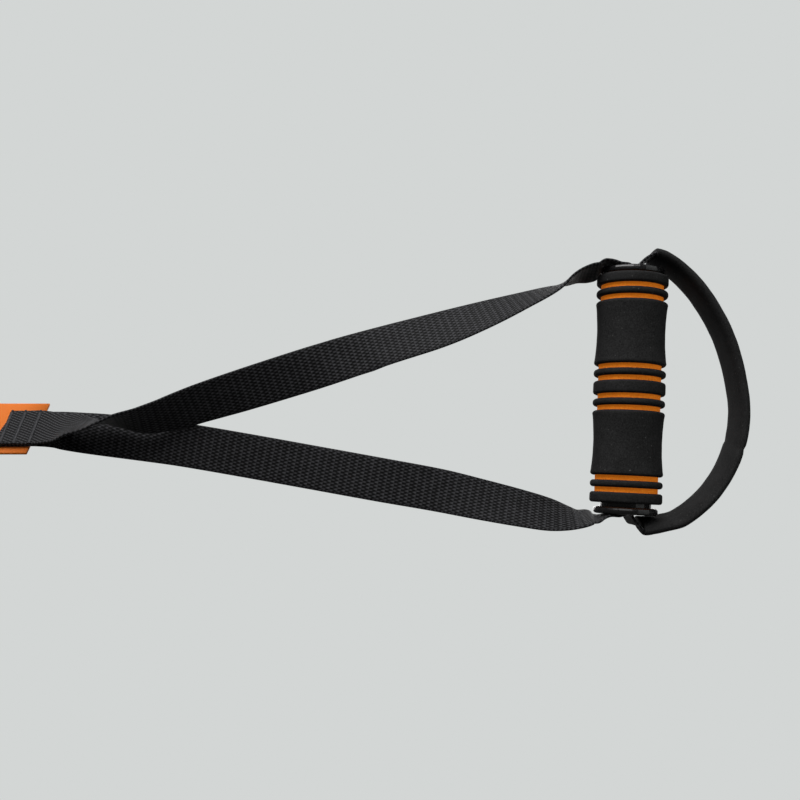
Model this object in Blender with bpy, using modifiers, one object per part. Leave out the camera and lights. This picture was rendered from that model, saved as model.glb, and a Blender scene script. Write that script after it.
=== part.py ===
"""One arm of a strap suspension trainer, hanging from its carabiner.

An orange main strap runs down from a cam buckle and is sewn to a black webbing yoke.
The yoke is threaded through a foam grip, and a padded foot loop is threaded through
the same grip. The origin is the inside of the carabiner's top bow, where the arm hangs.
+Z is up, +X runs along the grip and the front of the trainer faces -Y.
"""

import math

import bmesh
import bpy
import numpy as np
from mathutils import Matrix, Vector

COLLECTION_NAME = "suspension_trainer"

# Webbing and clearances
SEAT_GAP = 0.0003
CUT_OVERRUN = 0.002
WEBBING_WIDTH = 0.025
WEBBING_THICKNESS = 0.0014
MAIN_STRAP_WIDTH = 0.038
MAIN_STRAP_THICKNESS = 0.0016

# Grip, measured from the middle of its foam
GRIP_DROP = 0.615
GRIP_OFFSET = 0.0225
GRIP_LEAN = math.radians(2.9)
FOAM_RADIUS = 0.02025
LONG_BAND_WAIST = 0.0010
INNER_FOAM_RADIUS = 0.0176
CORE_WALL = 0.0014
END_RING_LENGTH = 0.006
THIN_RING_LENGTH = 0.004
LONG_BAND_LENGTH = 0.0365
MIDDLE_BAND_LENGTH = 0.0074
GROOVE_LENGTH = 0.0027
FOAM_FILLET = 0.0016
THIN_RING_FILLET = 0.0018

# End caps
CAP_BORE_RADIUS = 0.0129
CAP_COLLAR_WALL = 0.0013
CAP_COLLAR_LENGTH = 0.018
CAP_FLANGE_RADIUS = 0.018
CAP_FLANGE_THICKNESS = 0.004
CAP_FLANGE_FILLET = 0.0016
CAP_LIP_RADIUS = 0.0015
LEFT_CAP_STANDOUT = 0.0022

# Yoke: the two strands between the sewn lap and the grip
LAP_LENGTH = 0.0205
LAP_CUT_SLOPE = 0.28
LAP_YAW = math.radians(38.0)
LAP_SIDE_OFFSET = 0.0022
LAP_STAGGER = 0.0015
STRIP_SPACING = 0.0020
RIM_RISE = 0.0175
RIGHT_RIM_STANDOFF = 0.0014
LEFT_RIM_STANDOFF = 0.0019
TURN_RADIUS = 0.0052
TURN_INSET = 0.0042
TURN_SWEEP = math.radians(84.0)
TURN_BEND_STEPS = 5

# Foot loop, measured from the grip's axis
FOOT_LOOP_DEPTH = 0.063
SLEEVE_STANDOFF = 0.0095
SLEEVE_HALF_WIDTH = 0.0148
SLEEVE_HALF_THICKNESS = 0.0034
SLEEVE_START_ROLL = math.radians(1.0)
SLEEVE_END_ROLL = math.radians(12.0)
SLEEVE_SIDES = 14

# Main strap, from the buckle's lower edge down to the lap
STRAP_REACH = 0.096
ORANGE_END_SETBACK = 0.0022
ORANGE_END_SLOPE = 0.12
TWIST_START_SHARE = 0.24
TWIST_LENGTH_SHARE = 0.68
TWIST_STEPS = 12
TAIL_STRAIGHT = 0.046
TAIL_LEAN_LENGTH = 0.012
TAIL_LEAN = 0.004
HEM_LENGTH = 0.010
HEM_BEND_RADIUS = 0.0011

# Carabiner
ROD_RADIUS = 0.004
CARABINER_INSIDE_LENGTH = 0.066
CARABINER_HALF_WIDTH = 0.020
CARABINER_CORNER_RADIUS = 0.008
GATE_PIVOT_HEIGHT = 0.012
GATE_NOSE_HEIGHT = 0.050
GATE_ROD_RADIUS = 0.0036
GATE_ROD_START = 0.0049
GATE_NOSE_GAP = 0.0004
GATE_EAR_HEIGHT = 0.0025
GATE_TONGUE_THICKNESS = 0.0028
GATE_TONGUE_HALF_WIDTH = 0.0026
GATE_PIN_RADIUS = 0.0011

# Cam buckle, measured down from the webbing bar
ANCHOR_LOOP_LENGTH = 0.072
ANCHOR_LEG_SPACING = 0.0018
BAR_RADIUS = 0.0025
BUCKLE_SHEET = 0.0018
BUCKLE_SIDE_CLEARANCE = 0.001
BASE_PLATE_TOP = 0.008
BASE_PLATE_BOTTOM = 0.042
CHEEK_TOP = 0.006
CHEEK_FRONT = 0.0138
CHEEK_FILLET = 0.003
CAM_DROP = 0.024
CAM_PIN_RADIUS = 0.0022
CAM_TIP_RADIUS = 0.0075
CAM_RISE_PER_RADIAN = 0.0008
CAM_BODY_RADIUS = 0.0054
CAM_TOOTH_DEPTH = 0.0009
CAM_TOOTH_COUNT = 7
CAM_TOOTH_ARC = math.radians(84.0)
LEVER_LENGTH = 0.026
LEVER_HALF_THICKNESS = 0.0012
LEVER_ANGLE = math.radians(235.0)
PIN_HEAD_LENGTH = 0.0012
PIN_HEAD_STEP = 0.0009

# Faceting
TURN_STEPS = 32
FILLET_STEPS = 2
SPANS_PER_POINT = 2

# Points of the right strand between the lap and the grip's end: share of the way down,
# share of the way sideways, depth as a share of the webbing's width, roll in degrees.
RIGHT_STRAND_SHARES = (
    (0.033, -0.010, -0.24, 49), (0.062, -0.014, -0.39, 61), (0.082, -0.019, -0.43, 70),
    (0.105, -0.023, -0.43, 84), (0.134, -0.028, -0.40, 102), (0.172, -0.038, -0.35, 121),
    (0.205, -0.040, -0.29, 130), (0.240, -0.039, -0.24, 139), (0.275, -0.037, -0.20, 145),
    (0.346, -0.035, -0.14, 156), (0.453, -0.032, -0.08, 169), (0.598, -0.028, 0.0, 196),
    (0.707, -0.028, 0.0, 208), (0.780, -0.025, 0.0, 222), (0.854, -0.020, 0.0, 239),
    (0.922, -0.014, 0.0, 257), (0.948, -0.009, 0.0, 272), (0.967, -0.006, 0.0, 278),
    (0.986, -0.007, 0.0, 284),
)

# The left strand, from the grip's end back up to the lap.
LEFT_STRAND_SHARES = (
    (0.982, 0.001, 0.0, 291), (0.965, -0.005, 0.0, 296), (0.947, -0.007, 0.0, 304),
    (0.911, -0.008, 0.0, 316), (0.857, -0.005, 0.0, 327), (0.785, -0.001, 0.0, 338),
    (0.714, 0.003, 0.0, 348), (0.606, 0.005, -0.10, 354), (0.462, 0.008, 0.0, 357),
    (0.354, 0.010, 0.04, 360),
    (0.244, 0.011, 0.12, 357), (0.171, 0.009, 0.18, 352), (0.099, 0.006, 0.18, 345),
    (0.063, 0.004, 0.17, 338), (0.029, 0.002, 0.10, 330),
)

# Places of the yoke inside the grip, as shares of half the foam's length.
BORE_SHARES = (0.9, 0.5, 0.0, -0.5, -0.9)

# Small edges and tips as shares of the sizes that they follow, and the angle that stays smooth.
BAND_EDGE_SHARE = 0.9
WAIST_SHARES = (0.6, 0.2, -0.2, -0.6)
INNER_FOAM_INSET_SHARE = 1 / 3
FLANGE_FILLET_SHARE = 1 / 2.2
BORE_TIP_SHARE = 0.99
SMOOTH_ANGLE = math.radians(35.0)

# Webbing over each flange: up from the axis and out from the mouth, as shares of the
# flange's radius, then roll in degrees.
RIGHT_RIM_SHARES = (
    (1.12, -0.10, 283), (0.98, 0.05, 279), (0.82, 0.10, 274), (0.66, 0.09, 272), (0.50, 0.065, 270),
)
LEFT_RIM_SHARES = ((0.58, 0.08, 270), (0.76, 0.14, 273), (0.94, 0.19, 283))

# Foot loop under the grip, from its right end to its left: shares of the loop's depth
# and of its half span.
FOOT_LOOP_SHARES = (
    (0.170, 0.982), (0.241, 0.968), (0.360, 0.914), (0.471, 0.842), (0.581, 0.751), (0.690, 0.633),
    (0.814, 0.461), (0.900, 0.288), (0.958, 0.113), (0.992, -0.039), (1.000, -0.192),
    (0.965, -0.368), (0.885, -0.545), (0.785, -0.682), (0.690, -0.776), (0.560, -0.870),
    (0.456, -0.925), (0.317, -0.957), (0.225, -0.973), (0.135, -0.981),
)

# Webbing between the grip's mouth and the sleeve: shares of the flange's radius, down
# from the axis and out from the mouth.
RIGHT_LEAD_SHARES = ((0.062, -0.06), (0.14, 0.12), (0.30, 0.28), (0.52, 0.41))
LEFT_LEAD_SHARES = ((0.065, -0.06), (0.15, 0.13), (0.30, 0.28))


# Derived sizes
LINE_DEPTH = -(
    MAIN_STRAP_THICKNESS / 2 + SEAT_GAP + WEBBING_THICKNESS + SEAT_GAP + BAR_RADIUS
)
CAP_COLLAR_RADIUS = CAP_BORE_RADIUS + CAP_COLLAR_WALL
CORE_INNER_RADIUS = CAP_COLLAR_RADIUS + SEAT_GAP
CORE_RADIUS = CORE_INNER_RADIUS + CORE_WALL
FOAM_LENGTH = (
    2 * END_RING_LENGTH + 4 * THIN_RING_LENGTH + 2 * LONG_BAND_LENGTH
    + MIDDLE_BAND_LENGTH + 8 * GROOVE_LENGTH
)
RIGHT_MOUTH = FOAM_LENGTH / 2 + SEAT_GAP + CAP_FLANGE_THICKNESS
LEFT_MOUTH = FOAM_LENGTH / 2 + LEFT_CAP_STANDOUT + CAP_FLANGE_THICKNESS
RIM_DROP = GRIP_DROP - RIM_RISE
RIGHT_RIM_SIDE = GRIP_OFFSET + RIGHT_MOUTH + RIGHT_RIM_STANDOFF
LEFT_RIM_SIDE = GRIP_OFFSET - LEFT_MOUTH - LEFT_RIM_STANDOFF
FOOT_LOOP_HALF_SPAN = FOAM_LENGTH / 2 + CAP_FLANGE_THICKNESS + SLEEVE_STANDOFF
ROD_DROP = CARABINER_INSIDE_LENGTH + ROD_RADIUS
BAR_DROP = ROD_DROP + ANCHOR_LOOP_LENGTH
LAP_DROP = BAR_DROP + BASE_PLATE_BOTTOM + STRAP_REACH
CAM_PIN_DEPTH = LINE_DEPTH - MAIN_STRAP_THICKNESS / 2 - SEAT_GAP - CAM_TIP_RADIUS
CHEEK_INSIDE = MAIN_STRAP_WIDTH / 2 + BUCKLE_SIDE_CLEARANCE
CHEEK_OUTSIDE = CHEEK_INSIDE + BUCKLE_SHEET
CAM_HALF_WIDTH = CHEEK_INSIDE - BUCKLE_SIDE_CLEARANCE
PLATE_FRONT = LINE_DEPTH + MAIN_STRAP_THICKNESS / 2 + SEAT_GAP
PLATE_BACK = PLATE_FRONT + BUCKLE_SHEET
GRIP_CENTRE = Vector((GRIP_OFFSET, LINE_DEPTH, -GRIP_DROP))
GRIP_AXIS = Vector((math.cos(GRIP_LEAN), 0.0, -math.sin(GRIP_LEAN)))
GRIP_DOWN = Vector((-math.sin(GRIP_LEAN), 0.0, -math.cos(GRIP_LEAN)))
LAP_NORMAL = Vector((math.sin(LAP_YAW), -math.cos(LAP_YAW), 0.0))
LAP_ACROSS = Vector((math.cos(LAP_YAW), math.sin(LAP_YAW), 0.0))
LAP_END_DROP = LAP_DROP - LAP_LENGTH
YOKE_BORE_ROLL = math.radians(270.0)
FOOT_BORE_ROLL = math.radians(90.0)
DEPTH_AXIS = Vector((0.0, 1.0, 0.0))
SIDE_AXIS = Vector((1.0, 0.0, 0.0))


def clear_scene():
    for obj in list(bpy.data.objects):
        bpy.data.objects.remove(obj, do_unlink=True)


def new_collection(name):
    collection = bpy.data.collections.new(name)
    bpy.context.scene.collection.children.link(collection)
    return collection


def new_material(name, colour, roughness, metallic):
    material = bpy.data.materials.new(name)
    material.use_nodes = True
    shader = material.node_tree.nodes["Principled BSDF"]
    shader.inputs["Base Color"].default_value = (*colour, 1.0)
    shader.inputs["Roughness"].default_value = roughness
    shader.inputs["Metallic"].default_value = metallic
    return material


def link_object(name, data, collection, material):
    obj = bpy.data.objects.new(name, data)
    collection.objects.link(obj)
    if material is not None:
        data.materials.append(material)
    return obj


def mesh_from_bmesh(name, bm):
    mesh = bpy.data.meshes.new(name)
    bm.to_mesh(mesh)
    bm.free()
    return mesh


def smooth_round_faces(obj):
    obj.data.shade_smooth()
    obj.data.set_sharp_from_angle(angle=SMOOTH_ANGLE)


def new_empty(name, location, parent=None, rotation=(0.0, 0.0, 0.0)):
    empty = bpy.data.objects.new(name, None)
    empty.location = location
    empty.rotation_euler = rotation
    empty.empty_display_size = ROD_RADIUS
    bpy.context.scene.collection.objects.link(empty)
    if parent is not None:
        attach(empty, parent)
    return empty


def attach(obj, parent):
    """Parent an object without moving it in the world."""
    bpy.context.view_layer.update()
    obj.parent = parent
    obj.matrix_parent_inverse = parent.matrix_world.inverted()


def curve_as_mesh(obj, collection, material):
    """Swap a curve for its closed mesh, so that it can take a Boolean."""
    bpy.context.view_layer.update()
    evaluated = obj.evaluated_get(bpy.context.evaluated_depsgraph_get())
    mesh = bpy.data.meshes.new_from_object(evaluated)
    bm = bmesh.new()
    bm.from_mesh(mesh)
    bmesh.ops.remove_doubles(bm, verts=bm.verts, dist=SEAT_GAP / 30)
    bmesh.ops.recalc_face_normals(bm, faces=bm.faces)
    bm.to_mesh(mesh)
    bm.free()
    name = obj.name
    matrix = obj.matrix_world.copy()
    bpy.data.objects.remove(obj, do_unlink=True)
    mesh.materials.clear()
    solid = link_object(name, mesh, collection, material)
    solid.matrix_world = matrix
    return solid


def cut(obj, cutter, operation="DIFFERENCE"):
    modifier = obj.modifiers.new(cutter.name, "BOOLEAN")
    modifier.operation = operation
    modifier.object = cutter
    modifier.solver = "EXACT"
    return modifier


def style_cutter(obj):
    obj.hide_render = True
    obj.display_type = "WIRE"
    return obj


def box_cutter(name, low, high, collection):
    bm = bmesh.new()
    bmesh.ops.create_cube(bm, size=1.0)
    size = Vector(high) - Vector(low)
    centre = (Vector(high) + Vector(low)) / 2
    bmesh.ops.scale(bm, vec=size, verts=bm.verts)
    bmesh.ops.translate(bm, vec=centre, verts=bm.verts)
    return style_cutter(link_object(name, mesh_from_bmesh(name, bm), collection, None))


def cylinder_mesh(name, radius, length, segments=TURN_STEPS):
    """A cylinder along X, centred on the origin."""
    bm = bmesh.new()
    bmesh.ops.create_cone(
        bm, cap_ends=True, segments=segments, radius1=radius, radius2=radius, depth=length
    )
    turn = Matrix.Rotation(math.pi / 2, 3, "Y")
    bmesh.ops.rotate(bm, matrix=turn, verts=bm.verts)
    return mesh_from_bmesh(name, bm)


def arc(centre, radius, start, end, steps):
    """Points on an arc in a plane, both ends included."""
    points = []
    for step in range(steps + 1):
        angle = start + (end - start) * step / steps
        x = centre[0] + radius * math.cos(angle)
        y = centre[1] + radius * math.sin(angle)
        points.append((x, y))
    return points


def rounded_outline(corners, radii, steps):
    """Replace each corner of a closed outline by an arc of its own radius."""
    outline = []
    count = len(corners)
    for index, radius in enumerate(radii):
        corner = Vector(corners[index])
        before = (Vector(corners[index - 1]) - corner).normalized()
        after = (Vector(corners[(index + 1) % count]) - corner).normalized()
        if radius <= 0.0:
            outline.append(tuple(corner))
            continue
        half_angle = before.angle(after) / 2
        bisector = (before + after).normalized()
        centre = corner + bisector * radius / math.sin(half_angle)
        first = corner + before * radius / math.tan(half_angle) - centre
        last = corner + after * radius / math.tan(half_angle) - centre
        start = math.atan2(first.y, first.x)
        sweep = math.atan2(last.y, last.x) - start
        if sweep > math.pi:
            sweep -= 2 * math.pi
        if sweep < -math.pi:
            sweep += 2 * math.pi
        outline.extend(arc(centre, radius, start, start + sweep, steps))
    return outline


def turned(name, profile, collection, material):
    """Revolve a closed profile of radius and height round the local Z axis."""
    bm = bmesh.new()
    verts = [bm.verts.new((radius, 0.0, height)) for radius, height in profile]
    for index, vert in enumerate(verts):
        bm.edges.new((vert, verts[(index + 1) % len(verts)]))
    obj = link_object(name, mesh_from_bmesh(name, bm), collection, material)
    screw = obj.modifiers.new("turn", "SCREW")
    screw.angle = 2 * math.pi
    screw.axis = "Z"
    screw.steps = TURN_STEPS
    screw.render_steps = TURN_STEPS
    screw.use_merge_vertices = True
    screw.merge_threshold = SEAT_GAP / 30
    screw.use_smooth_shade = True
    return obj


def spline(points, spans, closed=False):
    """A smooth curve through rows of numbers, with the given spans between rows."""
    rows = np.array(points, dtype=float)
    if closed:
        rows = np.vstack((rows[-1], rows, rows[0], rows[1]))
    else:
        first = 2 * rows[0] - rows[1]
        last = 2 * rows[-1] - rows[-2]
        rows = np.vstack((first, rows, last))
    curve = []
    for index in range(1, len(rows) - 2):
        p0, p1, p2, p3 = rows[index - 1:index + 3]
        steps = [math.sqrt(np.linalg.norm((b - a)[:3])) for a, b in ((p0, p1), (p1, p2), (p2, p3))]
        t1 = steps[0]
        t2 = t1 + steps[1]
        t3 = t2 + steps[2]
        for span in range(spans):
            t = t1 + (t2 - t1) * span / spans
            a1 = p0 * (t1 - t) / t1 + p1 * t / t1
            a2 = p1 * (t2 - t) / (t2 - t1) + p2 * (t - t1) / (t2 - t1)
            a3 = p2 * (t3 - t) / (t3 - t2) + p3 * (t - t2) / (t3 - t2)
            b1 = a1 * (t2 - t) / t2 + a2 * t / t2
            b2 = a2 * (t3 - t) / (t3 - t1) + a3 * (t - t1) / (t3 - t1)
            curve.append(b1 * (t2 - t) / (t2 - t1) + b2 * (t - t1) / (t2 - t1))
    if not closed:
        curve.append(rows[-2])
    return np.array(curve)


def tangents(centres, closed):
    result = []
    last = len(centres) - 1
    for index in range(len(centres)):
        if closed:
            step = centres[(index + 1) % len(centres)] - centres[index - 1]
        else:
            step = centres[min(index + 1, last)] - centres[max(index - 1, 0)]
        result.append(step.normalized())
    return result


def rolled_across(centres, rolls, closed=False):
    """The width direction of a strap at each point: across the trainer at roll 0, in depth at 90."""
    directions = []
    for tangent, roll in zip(tangents(centres, closed), rolls):
        side = tangent.cross(DEPTH_AXIS).normalized()
        depth = side.cross(tangent)
        directions.append(side * math.cos(roll) + depth * math.sin(roll))
    return directions


def webbing_section(half_width, half_thickness):
    """A flat strap's section, with its woven edges drawn in to a ridge."""
    shoulder = half_width - half_thickness
    return [
        (half_width, 0.0), (shoulder, half_thickness), (-shoulder, half_thickness),
        (-half_width, 0.0), (-shoulder, -half_thickness), (shoulder, -half_thickness),
    ]


def oval_section(half_width, half_thickness, count):
    """A flattened round section, fuller at its edges than an ellipse."""
    points = []
    for step in range(count):
        angle = 2 * math.pi * step / count
        bulge = (math.cos(angle) ** 4 + math.sin(angle) ** 4) ** -0.25
        fullness = 1 + (bulge - 1) / 2
        x = half_width * math.cos(angle) * min(fullness, 1 / max(abs(math.cos(angle)), 1 / fullness))
        points.append((x, half_thickness * math.sin(angle) * fullness))
    return points


def sweep(name, centres, across, section, collection, material, closed=False, bore=None,
          end_slopes=(0.0, 0.0)):
    """Loft one section along a line of points, or a section with a bore through it."""
    bm = bmesh.new()
    rings = []
    bore_rings = []
    slopes = {0: end_slopes[0], len(centres) - 1: end_slopes[1]}
    lines = zip(centres, across, tangents(centres, closed))
    for index, (centre, width, tangent) in enumerate(lines):
        width = (width - tangent * width.dot(tangent)).normalized()
        normal = tangent.cross(width)
        width = width + tangent * slopes.get(index, 0.0)
        rings.append([bm.verts.new(centre + width * u + normal * v) for u, v in section])
        if bore:
            bore_rings.append([bm.verts.new(centre + width * u + normal * v) for u, v in bore])
    count = len(section)
    pairs = len(rings) if closed else len(rings) - 1
    for group in (rings, bore_rings):
        if not group:
            continue
        for index in range(pairs):
            near = group[index]
            far = group[(index + 1) % len(group)]
            for side in range(count):
                after = (side + 1) % count
                bm.faces.new((near[side], near[after], far[after], far[side]))
    if not closed:
        for end in (0, -1):
            if bore:
                for side in range(count):
                    after = (side + 1) % count
                    outer = rings[end]
                    inner = bore_rings[end]
                    bm.faces.new((outer[side], outer[after], inner[after], inner[side]))
            else:
                bm.faces.new(rings[end])
    bmesh.ops.recalc_face_normals(bm, faces=bm.faces)
    obj = link_object(name, mesh_from_bmesh(name, bm), collection, material)
    smooth_round_faces(obj)
    return obj


def flat_outline(name, outlines, half_width, collection, material):
    """A plate whose outlines lie in the YZ plane and whose thickness runs along X."""
    curve = bpy.data.curves.new(name, "CURVE")
    curve.dimensions = "2D"
    curve.fill_mode = "BOTH"
    curve.extrude = half_width
    for outline in outlines:
        line = curve.splines.new("POLY")
        line.points.add(len(outline) - 1)
        for point, (y, z) in zip(line.points, outline):
            point.co = (y, z, 0.0, 1.0)
        line.use_cyclic_u = True
    obj = link_object(name, curve, collection, material)
    obj.rotation_euler = (math.pi / 2, 0.0, math.pi / 2)
    return obj


def rod(name, points, radius, collection, material):
    """A round bar bent along a line of points, with flat ends."""
    curve = bpy.data.curves.new(name, "CURVE")
    curve.dimensions = "3D"
    curve.bevel_depth = radius
    curve.bevel_resolution = 3
    curve.use_fill_caps = True
    line = curve.splines.new("POLY")
    line.points.add(len(points) - 1)
    for point, place in zip(line.points, points):
        point.co = (*place, 1.0)
    return link_object(name, curve, collection, material)


# Grip
def grip_point(down, along, depth=0.0):
    return GRIP_CENTRE + GRIP_DOWN * down + GRIP_AXIS * along + DEPTH_AXIS * depth


def ring_profile(inner, outer, length, fillet, waist=0.0):
    """A foam band's profile, its outside drawn in by the waist at mid-length."""
    half = length / 2
    edge = min(fillet, half * BAND_EDGE_SHARE)
    profile = [
        (outer - edge * (1 - math.sin(a)), half - edge * (1 - math.cos(a)))
        for a in np.linspace(0.0, math.pi / 2, FILLET_STEPS + 1)
    ]
    if waist > 0.0:
        flat = half - edge
        for share in WAIST_SHARES:
            profile.append((outer - waist * (1 - share ** 2), flat * share))
    profile += [(radius, -height) for radius, height in reversed(profile[:FILLET_STEPS + 1])]
    profile += [(inner, -half), (inner, half)]
    return profile


def make_core_tube(collection, material, axis):
    half = FOAM_LENGTH / 2
    profile = [
        (CORE_RADIUS, half), (CORE_RADIUS, -half),
        (CORE_INNER_RADIUS, -half), (CORE_INNER_RADIUS, half),
    ]
    tube = turned("core_tube", profile, collection, material)
    tube.parent = axis


def make_inner_foam(collection, material, axis):
    half = FOAM_LENGTH / 2 - END_RING_LENGTH * INNER_FOAM_INSET_SHARE
    inner = CORE_RADIUS + SEAT_GAP
    profile = [
        (INNER_FOAM_RADIUS, half), (INNER_FOAM_RADIUS, -half), (inner, -half), (inner, half),
    ]
    foam = turned("inner_foam", profile, collection, material)
    foam.parent = axis


def make_foam_bands(collection, material, axis):
    """Nine black bands from the right end to the left, a groove between each two."""
    bands = (
        ("end_ring_right", END_RING_LENGTH, FOAM_FILLET, 0.0),
        ("thin_ring_1", THIN_RING_LENGTH, THIN_RING_FILLET, 0.0),
        ("long_band_right", LONG_BAND_LENGTH, FOAM_FILLET, LONG_BAND_WAIST),
        ("thin_ring_2", THIN_RING_LENGTH, THIN_RING_FILLET, 0.0),
        ("middle_band", MIDDLE_BAND_LENGTH, FOAM_FILLET, 0.0),
        ("thin_ring_3", THIN_RING_LENGTH, THIN_RING_FILLET, 0.0),
        ("long_band_left", LONG_BAND_LENGTH, FOAM_FILLET, LONG_BAND_WAIST),
        ("thin_ring_4", THIN_RING_LENGTH, THIN_RING_FILLET, 0.0),
        ("end_ring_left", END_RING_LENGTH, FOAM_FILLET, 0.0),
    )
    top = FOAM_LENGTH / 2
    for name, length, fillet, waist in bands:
        inner = INNER_FOAM_RADIUS + SEAT_GAP
        profile = ring_profile(inner, FOAM_RADIUS, length, fillet, waist)
        band = turned("foam_" + name, profile, collection, material)
        band.parent = axis
        band.location = (0.0, 0.0, top - length / 2)
        top -= length + GROOVE_LENGTH


def cap_profile(standout):
    """Flange, collar and bore of an end cap. Height 0 is the foam's end."""
    face = standout + CAP_FLANGE_THICKNESS
    corners = [
        (CAP_BORE_RADIUS, face), (CAP_FLANGE_RADIUS, face), (CAP_FLANGE_RADIUS, standout),
        (CAP_COLLAR_RADIUS, standout), (CAP_COLLAR_RADIUS, -CAP_COLLAR_LENGTH),
        (CAP_BORE_RADIUS, -CAP_COLLAR_LENGTH),
    ]
    flange_fillet = min(CAP_FLANGE_FILLET, CAP_FLANGE_THICKNESS * FLANGE_FILLET_SHARE)
    radii = [CAP_LIP_RADIUS, flange_fillet, flange_fillet, 0.0, 0.0, 0.0]
    return rounded_outline(corners, radii, FILLET_STEPS + 1)


def make_end_caps(collection, material, axis):
    right = turned("end_cap_right", cap_profile(SEAT_GAP), collection, material)
    right.parent = axis
    right.location = (0.0, 0.0, FOAM_LENGTH / 2)
    left = turned("end_cap_left", cap_profile(LEFT_CAP_STANDOUT), collection, material)
    left.parent = axis
    left.location = (0.0, 0.0, -FOAM_LENGTH / 2)
    left.rotation_euler = (math.pi, 0.0, 0.0)


# Yoke and foot loop
def strand_rows(start, end, shares):
    """Points of a strand between two places, from shares of the run between them."""
    run = end - start
    length = run.length
    down = run.normalized()
    side = down.cross(DEPTH_AXIS).normalized()
    rows = []
    for along, sideways, depth, roll in shares:
        place = start + down * length * along + side * length * sideways
        place += DEPTH_AXIS * WEBBING_WIDTH * depth
        rows.append((*place, math.radians(roll)))
    return rows


def yoke_turn_rows(mouth, direction):
    """The webbing's bend from the bore's mouth up the face of the flange, as rows."""
    rows = []
    for step in range(TURN_BEND_STEPS + 1):
        angle = TURN_SWEEP * step / TURN_BEND_STEPS
        down = -STRIP_SPACING / 2 - TURN_RADIUS * (1 - math.cos(angle))
        along = mouth - TURN_INSET + TURN_RADIUS * math.sin(angle)
        rows.append((*grip_point(down, direction * along), YOKE_BORE_ROLL))
    return rows


def rim_rows(mouth, direction, shares):
    """The webbing in front of a flange's face and over its rim."""
    rows = []
    for up, out, roll in shares:
        along = mouth + CAP_FLANGE_RADIUS * out
        place = grip_point(-CAP_FLANGE_RADIUS * up, direction * along)
        rows.append((*place, math.radians(roll)))
    return rows


def lap_layer(layer):
    """Offset of a webbing layer from the main strap's middle, at the sewn lap."""
    step = WEBBING_THICKNESS + SEAT_GAP
    first = MAIN_STRAP_THICKNESS / 2 + SEAT_GAP + WEBBING_THICKNESS / 2
    return LAP_NORMAL * (first + layer * step) - LAP_ACROSS * LAP_SIDE_OFFSET


def lap_rows(layer, roll, end_drop):
    """The sewn end of the webbing, from its cut end to the lap's lower end."""
    offset = lap_layer(layer)
    rows = []
    for drop in (end_drop, (end_drop + LAP_DROP) / 2, LAP_DROP - 2 * SEAT_GAP, LAP_DROP):
        rows.append((offset.x, LINE_DEPTH + offset.y, -drop, roll))
    return rows


def yoke_route():
    """The whole yoke: front layer of the lap, right strand, grip, left strand, back layer."""
    fork = Vector((0.0, LINE_DEPTH, -LAP_DROP))
    right_rim = Vector((RIGHT_RIM_SIDE, LINE_DEPTH, -RIM_DROP))
    left_rim = Vector((LEFT_RIM_SIDE, LINE_DEPTH, -RIM_DROP))
    rows = lap_rows(1, LAP_YAW, LAP_END_DROP)
    rows += strand_rows(fork, right_rim, RIGHT_STRAND_SHARES)
    rows += rim_rows(RIGHT_MOUTH, 1, RIGHT_RIM_SHARES)
    rows += reversed(yoke_turn_rows(RIGHT_MOUTH, 1))
    for share in BORE_SHARES:
        along = FOAM_LENGTH / 2 * share
        rows.append((*grip_point(-STRIP_SPACING / 2, along), YOKE_BORE_ROLL))
    rows += yoke_turn_rows(LEFT_MOUTH, -1)
    rows += rim_rows(LEFT_MOUTH, -1, LEFT_RIM_SHARES)
    rows += strand_rows(fork, left_rim, LEFT_STRAND_SHARES)
    rows += reversed(lap_rows(0, 2 * math.pi - LAP_YAW, LAP_END_DROP + LAP_STAGGER))
    return rows


def make_yoke(collection, material, parent):
    rows = spline(yoke_route(), SPANS_PER_POINT)
    centres = [Vector(row[:3]) for row in rows]
    across = rolled_across(centres, rows[:, 3])
    section = webbing_section(WEBBING_WIDTH / 2, WEBBING_THICKNESS / 2)
    slopes = (LAP_CUT_SLOPE, LAP_CUT_SLOPE)
    yoke = sweep(
        "yoke_webbing", centres, across, section, collection, material, end_slopes=slopes
    )
    attach(yoke, parent)
    return centres


def foot_route():
    """The closed foot loop: through the bore, out of the right mouth and round below."""
    rows = []
    for along in (-LEFT_MOUTH + CAP_COLLAR_LENGTH, 0.0, RIGHT_MOUTH - CAP_COLLAR_LENGTH):
        rows.append((*grip_point(STRIP_SPACING / 2, along), FOOT_BORE_ROLL))
    for down, out in RIGHT_LEAD_SHARES:
        place = grip_point(CAP_FLANGE_RADIUS * down, RIGHT_MOUTH + CAP_FLANGE_RADIUS * out)
        rows.append((*place, FOOT_BORE_ROLL))
    sleeve_start = len(rows)
    last = len(FOOT_LOOP_SHARES) - 1
    for index, (down, along) in enumerate(FOOT_LOOP_SHARES):
        place = grip_point(FOOT_LOOP_DEPTH * down, FOOT_LOOP_HALF_SPAN * along)
        lateness = 2 * index / last - 1
        turn = SLEEVE_END_ROLL if lateness > 0 else SLEEVE_START_ROLL
        rows.append((*place, FOOT_BORE_ROLL + turn * abs(lateness)))
    sleeve_end = len(rows)
    for down, out in reversed(LEFT_LEAD_SHARES):
        place = grip_point(CAP_FLANGE_RADIUS * down, -LEFT_MOUTH - CAP_FLANGE_RADIUS * out)
        rows.append((*place, FOOT_BORE_ROLL))
    return rows, sleeve_start, sleeve_end


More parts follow.
